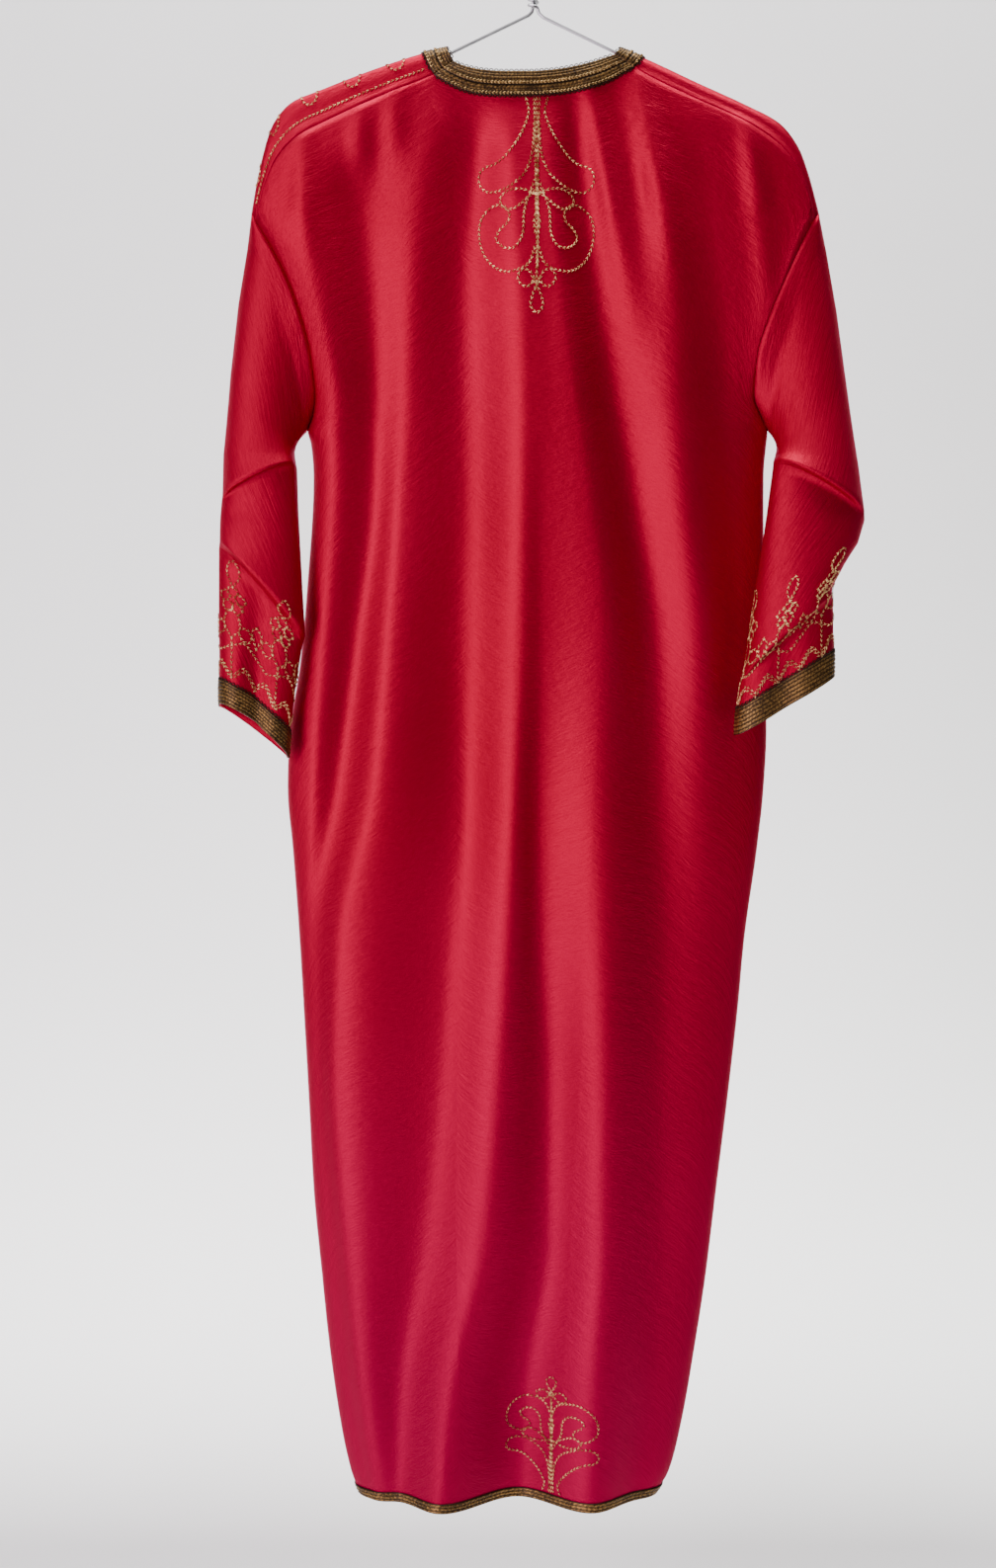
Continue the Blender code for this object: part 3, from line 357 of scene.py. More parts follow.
# Armholes
def armhole_turn(z):
    """How far round the armhole a height is: 0 at the shoulder, pi at the armpit."""
    share = np.clip((SHOULDER_TIP_Z - np.asarray(z, float)) / (SHOULDER_TIP_Z - ARMPIT_Z), 0, 1)
    return np.arccos(1 - 2 * share)


def outward_of(side):
    return np.array([-1.0 if side == "left" else 1.0, 0.0, 0.0])


def armhole_normal(side, turn):
    """Out of the cloth at the armhole, half way between the body's own direction and the sleeve's."""
    turn = np.asarray(turn, float)[..., None]
    up, near = np.cos(turn), np.sin(turn)
    lean = np.where(up > 0, 0.6, 0.9) * up**2
    return unit(up * [0, 0, 1] + near * [0, -1, 0] + lean * outward_of(side))


def edge_normals(side, near, levels):
    """Normals along a body panel's side edge: the armhole's, then straight out to the side."""
    turn = armhole_turn(levels)
    at_armhole = armhole_normal(side, turn if near else 2 * math.pi - turn)
    below = smooth((ARMPIT_Z - levels) / 11)[:, None]
    return unit(at_armhole * (1 - below) + outward_of(side) * below)


def table_ring(ring, turn):
    """A ring of the sleeve in mm, from a row of its table."""
    share = (1 - np.cos(turn)) / 2
    depth = np.sign(np.sin(turn)) * np.abs(np.sin(turn)) ** 0.8
    near, far = np.clip(depth, 0, 1), np.clip(-depth, 0, 1)
    pleat = ring.pleat * PLEAT_DEPTH * np.exp(-(((share - PLEAT_PLACE) / PLEAT_WIDTH) ** 2))
    x = ring.outer_x + (ring.inner_x - ring.outer_x) * share + ring.bow * near
    z = ring.outer_z + (ring.inner_z - ring.outer_z) * share + ring.lift * near
    y = ring.middle - ring.near * near + ring.far * far + pleat * near
    return np.stack([x, y, z], -1)


def sleeve_ring(side, along, turn):
    """The sleeve's points in mm at a place along it: 1 is its table's first row."""
    rings = LEFT_SLEEVE if side == "left" else RIGHT_SLEEVE
    low = min(int(along) - 1, len(rings) - 2)
    part = along - 1 - low
    first, second = np.array(rings[low]), np.array(rings[low + 1])
    return table_ring(Ring(*(first * (1 - part) + second * part)), turn)


def away_from_neck(points, middle):
    """For each point of a neckline, the direction in the panel's plane that leads off the hole."""
    along = np.gradient(points[:, [0, 2]], axis=0)
    off = unit(np.stack([along[:, 1], -along[:, 0]], -1))
    off *= np.sign(((points[:, [0, 2]] - middle) * off).sum(-1))[:, None]
    return off


# Fine cloth
def finer(values, parts):
    """A run of values with each gap cut into parts."""
    values = np.array(values, float)
    steps = np.arange((len(values) - 1) * parts + 1) / parts
    return np.interp(steps, np.arange(len(values)), values)


def fine_levels():
    levels = [ROW_LEVELS[0]]
    for low in ROW_LEVELS[1:]:
        count = max(1, round((levels[-1] - low) / ROW_STEP))
        levels += list(np.linspace(levels[-1], low, count + 1)[1:])
    return np.array(levels, float)


def seam_stations(side):
    """The fronts' and the back's shared columns along a shoulder, from the neckline out."""
    rows = LEFT_SHOULDER if side == "left" else RIGHT_SHOULDER
    share = np.linspace(0, 1, SHOULDER_COLUMNS * FINER + 1)
    share = 0.35 * share + 0.65 * np.sin(share * math.pi / 2)
    top_x = rows[0].top_x + (rows[-1].top_x - rows[0].top_x) * share
    x, z, top_z = (read(rows, c, top_x, key="top_x") for c in ("x", "z", "top_z"))
    return np.stack([x, z, top_x, top_z], -1)


def back_points():
    left, right = seam_stations("left"), seam_stations("right")
    neck_x = np.linspace(NECK_EDGE_X[0], NECK_EDGE_X[1], NECK_COLUMNS * FINER + 1)[1:-1]
    neck = np.stack([neck_x, read(NECK_BACK, "z", neck_x, key="x")], -1)
    top = np.vstack([left[::-1, :2], neck, right[:, :2]])
    share = (top[:, 0] - top[0, 0]) / (top[-1, 0] - top[0, 0])
    levels = fine_levels()
    z = np.stack([body_rows(t, levels) for t in top[:, 1]], -1)
    x = read(LEVELS, "left", z) * (1 - share) + read(LEVELS, "right", z) * share
    x = follow_top(x, z, top[:, 0])
    return np.stack([x, body_depth(x, z, True), z], -1), levels


def front_neck_z(side, x):
    """The front neckline: low at the opening and steep near the shoulder."""
    rows = LEFT_SHOULDER if side == "left" else RIGHT_SHOULDER
    corner_z = rows[0].top_z - FAR_SHOULDER_DROP
    share = np.abs(x / rows[0].top_x) ** NECK_FRONT_POWER
    return -NECK_FRONT_DEPTH + (corner_z + NECK_FRONT_DEPTH) * share


def front_points(side):
    """A front's fine grid: rows over the shoulder from its seam, then rows down to the hem."""
    sign = outward_of(side)[0]
    stations = seam_stations(side)
    inside_x = finer([*FRONT_NECK_X, abs(stations[0, 2])], FINER)[:-1]
    neck_x = inside_x * sign
    inside = len(neck_x)
    seam_x, seam_z, line_x, line_z = np.vstack([np.repeat(stations[:1], inside, 0), stations]).T
    levels = fine_levels()
    parts = finer([part for part, _ in STRIP_ROWS], 3)
    depths = finer([-12.0 if depth is None else depth for _, depth in STRIP_ROWS], 3)
    over = len(parts)
    top_x = np.concatenate([neck_x, stations[:, 2]])
    band = FRONT_NECK_X[2] * sign
    fixed = int(np.searchsorted(inside_x, FRONT_NECK_X[2])) + 1
    share = np.clip((top_x - band) / (top_x[-1] - band), 0, None)
    first = np.where(np.arange(len(top_x)) < inside, front_neck_z(side, top_x), line_z - FAR_SHOULDER_DROP)
    z = np.stack([body_rows(t, levels) for t in first], -1)
    x = follow_top(band + (read(LEVELS, side, z) - band) * share, z, top_x)
    x[:, :fixed] = neck_x[:fixed]
    y = body_depth(x, z, False)
    y[0, inside:-1] = FAR_SHOULDER_DEPTH
    grid = np.zeros((over + len(levels), len(top_x), 3))
    grid[over:] = np.stack([x, y, z], -1)
    seam_y = body_depth(seam_x, seam_z, True)
    for i, (part, depth) in enumerate(zip(parts, depths)):
        near_seam = np.clip((part - 0.66) / 0.34, 0, 1)
        rolled = depth * np.minimum(1.0, -seam_y / 8)
        grid[i, :, 0] = line_x + (seam_x - line_x) * part
        grid[i, :, 1] = seam_y * near_seam + np.maximum(rolled, -8.4) * (1 - near_seam)
        grid[i, :, 2] = line_z + (seam_z - line_z) * part
    return grid, levels, over, inside


def front_normals(points, over):
    facing = np.zeros(points.shape)
    facing[..., 1] = 1.0
    facing[: over - 5, :, 1] = -1.0
    facing[over - 5 : over] = (0.0, 0.0, 1.0)
    normals = grid_normals(points, facing)
    normals[over:, 0] = (0.0, 1.0, 0.0)
    return normals


def armhole_loop(side, back, front, over, levels):
    """Points and turns round an armhole, from the panels' own edges, tip and near side first."""
    pit = int(np.argmin(np.abs(levels - ARMPIT_Z)))
    near = back[:, 0 if side == "left" else -1]
    far = front[over:, -1]
    strip = front[:over, -1]
    tip = int(np.argmax(strip[:, 2]))
    points = [*strip[1 : tip + 1][::-1], *near[:pit], far[pit], *far[:pit][::-1], *strip[tip + 1 :][::-1]]
    points = np.array(points) * 1.0
    turn = armhole_turn(points[:, 2])
    first_far = tip + pit + 1
    turn[first_far:] = 2 * math.pi - turn[first_far:]
    points[first_far - 1, 1] = 0.0
    return points, turn


def sleeve_points(side, loop, turn):
    count = len(LEFT_SLEEVE)
    first = sleeve_ring(side, 1, turn)
    places = finer([*range(1, count + 1)], 5)
    smoothed = [loop + (first - loop) * t for t in np.linspace(0, 1, 6)[:-1]]
    return np.array([*smoothed, *(sleeve_ring(side, a, turn) for a in places)])


def lengths_along(points, axis):
    """How far each point lies along its own row or column, in mm."""
    step = np.linalg.norm(np.diff(points, axis=axis), axis=-1)
    start = np.zeros_like(np.take(step, [0], axis=axis))
    return np.concatenate([start, np.cumsum(step, axis=axis)], axis=axis)


# Meshes
def new_piece(name, points, faces, materials, uv=None, smooth_faces=True):
    mesh = bpy.data.meshes.new(name)
    mesh.from_pydata(np.asarray(points, float).tolist(), [], faces)
    if uv is not None:
        layer = mesh.uv_layers.new(name="weave")
        corner = np.zeros(len(mesh.loops), int)
        mesh.loops.foreach_get("vertex_index", corner)
        layer.uv.foreach_set("vector", np.asarray(uv, np.float32)[corner].ravel())
    for material in materials:
        mesh.materials.append(material)
    if smooth_faces:
        mesh.shade_smooth()
    obj = bpy.data.objects.new(name, mesh)
    bpy.context.scene.collection.objects.link(obj)
    return obj


def thin_wall(name, points, normals, material, thickness, used=None, closed=False, relief=None):
    """A closed thin wall on a grid in mm; relief is added to its outer side."""
    rows, columns = points.shape[:2]
    last = columns if closed else columns - 1
    used = np.ones((rows - 1, last), bool) if used is None else used
    raised = thickness / 2 + (0 if relief is None else relief)
    outer = points + normals * np.broadcast_to(raised, (rows, columns))[..., None]
    inner = points - normals * thickness / 2
    count = rows * columns
    i, j = np.nonzero(used)
    k = (j + 1) % columns
    quads = np.stack([i * columns + j, i * columns + k, (i + 1) * columns + k, (i + 1) * columns + j], -1)
    edges = set()
    for a, b in ((0, 1), (1, 2), (2, 3), (3, 0)):
        edges |= set(zip(quads[:, a].tolist(), quads[:, b].tolist()))
    rim = [[b, a, count + a, count + b] for a, b in edges if (b, a) not in edges]
    faces = quads.tolist() + (quads[:, ::-1] + count).tolist() + sorted(rim)
    points_mm = np.vstack([outer.reshape(-1, 3), inner.reshape(-1, 3)])
    across, down = lengths_along(points, 1), lengths_along(points, 0)
    uv = np.stack([across.ravel(), down.ravel()], -1) * MM
    facing = np.cross(
        points_mm[quads[:, 1]] - points_mm[quads[:, 0]], points_mm[quads[:, 3]] - points_mm[quads[:, 0]]
    )
    if (facing * normals.reshape(-1, 3)[quads[:, 0]]).sum() < 0:
        faces = [face[::-1] for face in faces]
    used_points = sorted({v for face in faces for v in face})
    new_place = {v: n for n, v in enumerate(used_points)}
    faces = [[new_place[v] for v in face] for face in faces]
    uv = np.vstack([uv, uv])[used_points]
    piece = new_piece(name, points_mm[used_points] * MM, faces, [material], uv)
    if relief is not None:
        raised = np.concatenate([(relief / relief.max()).ravel(), np.zeros(count)])[used_points]
        layer = piece.data.attributes.new("raised", "FLOAT", "POINT")
        layer.data.foreach_set("value", raised.astype(np.float32))
    return piece


# Materials
class Value:
    """A value in a node tree. Arithmetic on it adds the Math nodes."""

    def __init__(self, maker, socket):
        self.maker, self.socket = maker, socket

    def _math(self, operation, *inputs):
        return self.maker.add("ShaderNodeMath", {"operation": operation}, dict(enumerate(inputs)))

    def __add__(self, other):
        return self._math("ADD", self, other)

    __radd__ = __add__

    def __sub__(self, other):
        return self._math("SUBTRACT", self, other)

    def __rsub__(self, other):
        return self._math("SUBTRACT", other, self)

    def __mul__(self, other):
        return self._math("MULTIPLY", self, other)

    __rmul__ = __mul__

    def __truediv__(self, other):
        return self._math("DIVIDE", self, other)

    def __pow__(self, other):
        return self._math("POWER", self, other)


class Maker:
    """Adds nodes to one tree."""

    def __init__(self, tree):
        self.tree = tree

    def add(self, kind, settings=None, inputs=None, out=0):
        node = self.tree.nodes.new(kind)
        for key, value in (settings or {}).items():
            if key == "stops":
                self._stops(node.color_ramp, value)
            else:
                setattr(node, key, value)
        for key, value in (inputs or {}).items():
            socket = node.inputs[key]
            if isinstance(value, Value):
                self.tree.links.new(value.socket, socket)
            else:
                socket.default_value = value
        return Value(self, node.outputs[out])

    @staticmethod
    def _stops(ramp, stops):
        while len(ramp.elements) < len(stops):
            ramp.elements.new(0.5)
        for element, (position, colour) in zip(ramp.elements, stops):
            element.position, element.color = position, (*colour, 1)

    def noise(self, vector, scale, detail=2.0, roughness=0.5):
        inputs = {"Vector": vector, "Scale": scale, "Detail": detail, "Roughness": roughness}
        return self.add("ShaderNodeTexNoise", None, inputs)

    def stretched(self, vector, scale):
        return self.add("ShaderNodeMapping", None, {"Vector": vector, "Scale": scale})

    def mix(self, factor, a, b):
        a, b = ((*colour, 1) if isinstance(colour, tuple) else colour for colour in (a, b))
        return self.add("ShaderNodeMix", {"data_type": "RGBA"}, {"Factor": factor, 6: a, 7: b}, out=2)

    def bump(self, height, strength, distance, before=None):
        inputs = {"Height": height, "Strength": strength, "Distance": distance}
        if before is not None:
            inputs["Normal"] = before
        return self.add("ShaderNodeBump", None, inputs)


def new_material(name, **fixed):
    """A material with its shader; fixed holds the shader's plain values."""
    material = bpy.data.materials.new(name)
    material.use_nodes = True
    shader = material.node_tree.nodes["Principled BSDF"]
    for key, value in fixed.items():
        shader.inputs[key.replace("_", " ")].default_value = value
    return material, Maker(material.node_tree), shader


def join_shader(maker, shader, **linked):
    for key, value in linked.items():
        maker.tree.links.new(value.socket, shader.inputs[key.replace("_", " ")])


# painted shade, nearly black, for the braid's grooves between its cords
PAINTED_GROOVE_SHADE = (0.020, 0.010, 0.003)
SATIN_DEEP = (0.27, 0.0, 0.006)
SATIN_BRIGHT = (0.47, 0.0, 0.038)
SATIN_HEM_PAINTED_LIGHT_DEEP = (0.22, 0.0, 0.012)  # painted light: towards the hem the colour is painted pinker and darker, for the light that falls there
SATIN_HEM_PAINTED_LIGHT_BRIGHT = (0.43, 0.0, 0.060)
PAINTED_HEM_LIGHT_START, PAINTED_HEM_LIGHT_END = -0.80, -1.35  # m


def crepe_satin():
    """Crimson satin with the fine level crinkle of crepe."""
    material, m, shader = new_material(
        "crepe_satin",
        Metallic=0.62,
        Specular_IOR_Level=0.3,
        Specular_Tint=(1.0, 0.10, 0.55, 1.0),
    )
    weave = m.add("ShaderNodeUVMap", {"uv_map": "weave"})
    crinkle = m.noise(m.stretched(weave, (150.0, 560.0, 1.0)), 1.0, 3.0, 0.62)
    ripple = m.noise(m.stretched(weave, (34.0, 130.0, 1.0)), 1.0, 2.0, 0.5)
    patches = m.noise(m.stretched(weave, (6.0, 3.0, 1.0)), 1.0, 2.0, 0.5)
    place = m.add("ShaderNodeTexCoord", None, None, out=3)
    height = m.add("ShaderNodeSeparateXYZ", None, {0: place}, out=2)
    # painted light: from 0.80 m to 1.35 m down, the colour turns to the pinker, darker tones painted for the
    # light near the hem
    low = m.add("ShaderNodeMapRange", None, {0: height, 1: PAINTED_HEM_LIGHT_START, 2: PAINTED_HEM_LIGHT_END})
    # random tone in broad patches, plus painted shade: the crinkle's hollows are painted darker and its tops
    # lighter
    share = patches * 0.5 + crinkle * 0.35 + 0.05
    upper = m.mix(share, SATIN_DEEP, SATIN_BRIGHT)
    colour = m.mix(low, upper, m.mix(share, SATIN_HEM_PAINTED_LIGHT_DEEP, SATIN_HEM_PAINTED_LIGHT_BRIGHT))
    roughness = 0.42 + crinkle * 0.12
    normal = m.bump(ripple, 0.30, 0.0016)
    normal = m.bump(crinkle, 0.62, 0.0007, normal)
    join_shader(m, shader, Base_Color=colour, Roughness=roughness, Normal=normal)
    return material


def metal_thread(name, dark, bright, scale, roughness, grooves=False):
    """Wound metallic thread: painted glints over a darker core, and painted shade down in a braid's grooves.
    """
    material, m, shader = new_material(name, Metallic=0.7, Specular_IOR_Level=0.5)
    place = m.add("ShaderNodeTexCoord", None, None, out=3)
    # painted glints: fine noise, in broad patches, lifts the thread's colour from its dark tone to its bright
    # one
    glint = m.noise(place, scale, 2.0, 0.6)
    broad_patches = m.noise(place, scale * 0.09, 2.0, 0.5)
    mixed = m.add("ShaderNodeMapRange", None, {0: glint * 0.75 + broad_patches * 0.35, 1: 0.44, 2: 0.66})
    colour = m.mix(mixed, dark, bright)
    if grooves:
        # painted shade: where the braid's relief is low, between its cords, the colour is darkened
        raised = m.add("ShaderNodeAttribute", {"attribute_name": "raised"}, None, out=2)
        colour = m.mix(m.add("ShaderNodeMapRange", None, {0: raised, 1: 0.15, 2: 0.85}), PAINTED_GROOVE_SHADE, colour)
    join_shader(m, shader, Base_Color=colour, Roughness=roughness + glint * 0.2,
                Normal=m.bump(glint, 0.5, 0.0004))  # fmt: skip
    return material


def wire_steel():
    material, m, shader = new_material("hanger_wire", Metallic=1.0)
    place = m.add("ShaderNodeTexCoord", None, None, out=3)
    streaks = m.noise(m.stretched(place, (60.0, 900.0, 60.0)), 1.0, 3.0, 0.6)
    colour = m.mix(streaks, (0.30, 0.30, 0.31), (0.52, 0.52, 0.53))
    normal = m.bump(streaks, 0.2, 0.0002)
    join_shader(m, shader, Base_Color=colour, Roughness=0.32 + streaks * 0.15, Normal=normal)
    return material


# Stitches, cords and loops that repeat along a line
def new_tree(name, sizes):
    """A node tree with a named number for each size."""
    tree = bpy.data.node_groups.new(name, "GeometryNodeTree")
    tree.interface.new_socket("Geometry", in_out="INPUT", socket_type="NodeSocketGeometry")
    tree.interface.new_socket("Geometry", in_out="OUTPUT", socket_type="NodeSocketGeometry")
    for size, value in sizes.items():
        socket = tree.interface.new_socket(size, in_out="INPUT", socket_type="NodeSocketFloat")
        socket.default_value = value
    maker = Maker(tree)
    start = tree.nodes.new("NodeGroupInput")
    inputs = {size: Value(maker, start.outputs[size]) for size in ("Geometry", *sizes)}
    return tree, maker, inputs


def along_line(maker, line, spacing, shape, material):
    """Repeats a shape along a line, its X along the line and its Z out of the cloth."""
    curve = maker.add("GeometryNodeMeshToCurve", None, {"Mesh": line})
    curve = maker.add("GeometryNodeResampleCurve", {"mode": "LENGTH"}, {"Curve": curve, "Length": spacing})
    out = maker.add("GeometryNodeInputNamedAttribute", {"data_type": "FLOAT_VECTOR"}, {"Name": "out"})
    tangent = maker.add("GeometryNodeInputTangent")
    turned = maker.add("FunctionNodeAlignRotationToVector", {"axis": "X"}, {"Vector": tangent})
    turned = maker.add(
        "FunctionNodeAlignRotationToVector", {"axis": "Z", "pivot_axis": "X"},
        {"Rotation": turned, "Vector": out}
    )
    inputs = {"Points": curve, "Instance": shape, "Rotation": turned}
    copies = maker.add("GeometryNodeInstanceOnPoints", None, inputs)
    real = maker.add("GeometryNodeRealizeInstances", None, {"Geometry": copies})
    done = maker.add("GeometryNodeSetMaterial", None, {"Geometry": real, "Material": material})
    end = maker.tree.nodes.new("NodeGroupOutput")
    maker.tree.links.new(done.socket, end.inputs["Geometry"])


def grain(maker, length, width, height, turn, offset):
    """One thread's visible grain, an ellipsoid turned in the cloth's plane."""
    ball = maker.add("GeometryNodeMeshUVSphere", None, {"Segments": 6, "Rings": 4, "Radius": 0.5})
    size = maker.add("ShaderNodeCombineXYZ", None, {0: length, 1: width, 2: height})
    place = maker.add("ShaderNodeCombineXYZ", None, {1: offset, 2: height * 0.25})
    return maker.add(
        "GeometryNodeTransform", None,
        {"Geometry": ball, "Scale": size, "Translation": place, "Rotation": (0.0, 0.0, turn)}
    )  # fmt: skip


def plait_tree(material):
    """A plait or chain stitch: two slanting grains at each step."""
    tree, maker, inputs = new_tree("plait", {"Step": 0.003, "Width": 0.003, "Height": 0.001})
    width, height, step = inputs["Width"], inputs["Height"], inputs["Step"]
    left = grain(maker, step * 1.1, width * 0.5, height, 0.4, width * 0.2)
    right = grain(maker, step * 0.75, width * 0.4, height * 0.8, -0.5, width * -0.3)
    joined = maker.add("GeometryNodeJoinGeometry")
    for side in (left, right):
        maker.tree.links.new(side.socket, joined.socket.node.inputs[0])
    along_line(maker, inputs["Geometry"], step, joined, material)
    return tree


def loops_tree(material):
    """Picots: small rings of cord that stand off an edge."""
    tree, maker, inputs = new_tree("picots", {"Step": 0.004, "Ring": 0.003, "Cord": 0.0008})
    circle, profile = (
        maker.add(
            "GeometryNodeCurvePrimitiveCircle", {"mode": "RADIUS"},
            {"Resolution": sides, "Radius": inputs[size] * 0.5}
        )
        for sides, size in ((9, "Ring"), (4, "Cord"))
    )  # fmt: skip
    ring = maker.add("GeometryNodeCurveToMesh", None, {"Curve": circle, "Profile Curve": profile})
    along_line(maker, inputs["Geometry"], inputs["Step"], ring, material)
    return tree


def run_tree(name, tree, lines, **sizes):
    """Runs a tree on lines of (points, outs) in mm, and returns the result as a plain mesh."""
    points, outs, edges = [], [], []
    for line, out in lines:
        start = len(points)
        points += (np.asarray(line) * MM).tolist()
        outs += np.asarray(out).tolist()
        edges += [(start + n, start + n + 1) for n in range(len(line) - 1)]
    mesh = bpy.data.meshes.new(name + "_line")
    mesh.from_pydata(points, edges, [])
    attribute = mesh.attributes.new("out", "FLOAT_VECTOR", "POINT")
    attribute.data.foreach_set("vector", np.asarray(outs, np.float32).ravel())
    line_object = bpy.data.objects.new(name + "_line", mesh)
    bpy.context.scene.collection.objects.link(line_object)
    modifier = line_object.modifiers.new("run", "NODES")
    modifier.node_group = tree
    for item in tree.interface.items_tree:
        if item.in_out == "INPUT" and item.name in sizes:
            modifier[item.identifier] = float(sizes[item.name])
    depsgraph = bpy.context.evaluated_depsgraph_get()
    result = bpy.data.meshes.new_from_object(line_object.evaluated_get(depsgraph))
    line_object.modifiers.remove(modifier)
    bpy.data.objects.remove(line_object)
    result.name = name
    result.shade_smooth()
    obj = bpy.data.objects.new(name, result)
    bpy.context.scene.collection.objects.link(obj)
    return obj


# Where things lie on the cloth
def on_grid(points, normals, row, column):
    """Points and normals of a grid at rows and columns that need not be whole."""
    row = np.clip(row, 0, points.shape[0] - 1.001)
    column = np.clip(column, 0, points.shape[1] - 1.001)
    i, j = row.astype(int), column.astype(int)
    a, b = (row - i)[..., None], (column - j)[..., None]

    def mixed(grid):
        top = grid[i, j] * (1 - b) + grid[i, j + 1] * b
        low = grid[i + 1, j] * (1 - b) + grid[i + 1, j + 1] * b
        return top * (1 - a) + low * a

    return mixed(points), unit(mixed(normals))


def on_back(x, z, near=True):
    """Points and outward normals of the body's cloth at x, z."""
    x, z = np.asarray(x, float), np.asarray(z, float)
    y = body_depth(x, z, near)
    dx = body_depth(x + 0.5, z, near) - body_depth(x - 0.5, z, near)
    dz = body_depth(x, z + 0.5, near) - body_depth(x, z - 0.5, near)
    normals = np.stack([dx, -np.ones_like(dx), dz], -1)
    return np.stack([x, y, z], -1), unit(normals if near else -normals)


def smooth_curve(points, step=1.2):
    """A smooth open curve through points, evenly spaced."""
    points = np.array(points, float)
    ends = np.vstack([2 * points[0] - points[1], points, 2 * points[-1] - points[-2]])
    result = []
    for k in range(1, len(ends) - 2):
        p0, p1, p2, p3 = ends[k - 1 : k + 3]
        count = max(2, int(np.linalg.norm(p2 - p1) / step) + 1)
        for t in np.linspace(0, 1, count, endpoint=False):
            result.append(
                0.5 * (2 * p1 + (p2 - p0) * t + (2 * p0 - 5 * p1 + 4 * p2 - p3) * t**2
                       + (3 * p1 - p0 - 3 * p2 + p3) * t**3)
            )  # fmt: skip
    return np.array([*result, points[-1]])


def round_loop(x, d, radius, start=0.0, turn=2 * math.pi):
    a = start + np.linspace(0, turn, 13)
    return np.stack([x + radius * np.cos(a), d + radius * np.sin(a)], -1)


# The scroll motif, in mm from its top: one side's lines, and those on its middle
SCROLL_SIDE = [
    [(9, 0), (7, 12), (14, 30), (25, 46), (35, 54), (44, 57), (49, 63), (48, 72), (40, 78), (26, 75),
     (11, 63), (4, 45), (2, 22)],
    [(2, 80), (12, 76), (24, 77), (31, 84), (27, 92), (19, 92), (10, 85), (3, 79)],
    [(6, 80), (1, 68), (0, 80)],
    [(8, 84), (11, 96), (12, 113), (18, 124), (27, 125), (34, 118), (31, 110), (24, 103), (24, 94), (31, 89),
     (40, 92), (48, 103), (48, 121), (41, 136), (28, 145), (14, 143), (6, 137), (2, 126)],
    [(2, 154), (6, 145), (13, 144), (16, 151), (12, 157), (6, 157), (2, 151)],
]  # fmt: skip
SCROLL_MIDDLE = [
    [(0, 0), (0, 60), (0, 110), (0, 158)],
    [(2.2, 0), (1.2, 40), (0.6, 100)],
    [(-2.2, 0), (-1.2, 40), (-0.6, 100)],
    [(1.4, 98), (2.4, 104), (1.4, 112)],
    [(-1.4, 98), (-2.4, 104), (-1.4, 112)],
    [(0.8, 60), (1.0, 105), (0.6, 140)],
    [(0, 156), (4.5, 168), (4.8, 175), (0, 180), (-4.8, 175), (-4.5, 168), (0, 156)],
]


def scroll_lines():
    """All the motif's lines as (x, distance down)."""
    lines = [smooth_curve(line) for line in SCROLL_MIDDLE]
    for line in SCROLL_SIDE:
        for way in (1, -1):
            lines.append(smooth_curve([(way * x, d) for x, d in line]))
    return lines


# Panels
def side_gap(points, column, near):
    """Puts a side edge half the seam's gap off the seam's plane."""
    edge = points[:, column]
    at_seam = np.abs(edge[:, 1]) < SEAM_GAP / 2
    edge[at_seam, 1] = (-1 if near else 1) * SEAM_GAP / 2


def make_back(satin):
    points, levels = back_points()
    side_gap(points, 0, True)
    side_gap(points, -1, True)
    normals = grid_normals(points, np.array([0.0, -1.0, 0.0]))
    normals[:, 0] = edge_normals("left", True, levels)
    normals[:, -1] = edge_normals("right", True, levels)
    normals[0, 1:-1] = unit([0.0, -1.0, 0.12])
    thin_wall("back_panel", points, normals, satin, CLOTH)
    return points, normals


def make_front(side, satin):
    points, levels, over, inside = front_points(side)
    sign = outward_of(side)[0]
    side_gap(points[over:], -1, False)
    points[over:, 0, 0] += sign * SEAM_GAP
    normals = front_normals(points, over)
    normals[over:, -1] = edge_normals(side, False, levels)
    turn = armhole_turn(points[:over, -1, 2])
    normals[:over, -1] = armhole_normal(side, np.where(points[:over, -1, 1] > 0, -turn, turn))
    normals[0, inside:-1] = unit([0.0, -1.0, 0.12])
    panel = points.copy()
    panel[0] += unit(points[1] - points[0] + [0, 0, 1e-9]) * SEAM_GAP
    used = np.ones((points.shape[0] - 1, points.shape[1] - 1), bool)
    used[:over, :inside] = False
    thin_wall(f"front_panel_{side}", panel, normals, satin, CLOTH, used)
    return points, normals, levels, over, inside


def make_sleeve(side, back, front, satin):
    loop, turn = armhole_loop(side, back[0], front[0], front[3], front[2])
    normal = armhole_normal(side, turn)
    along_loop = np.roll(loop, -1, axis=0) - np.roll(loop, 1, axis=0)
    clear = unit(np.cross(along_loop, normal))
    clear *= np.sign(clear @ outward_of(side))[:, None]
    points = sleeve_points(side, loop + clear * ARMHOLE_GAP, turn)
    normals = grid_normals(points, points - points.mean(axis=1, keepdims=True), closed=True)
    normals[0] = normal
    thin_wall(f"sleeve_cloth_{side}", points, normals, satin, CLOTH, closed=True)
    return points, normals


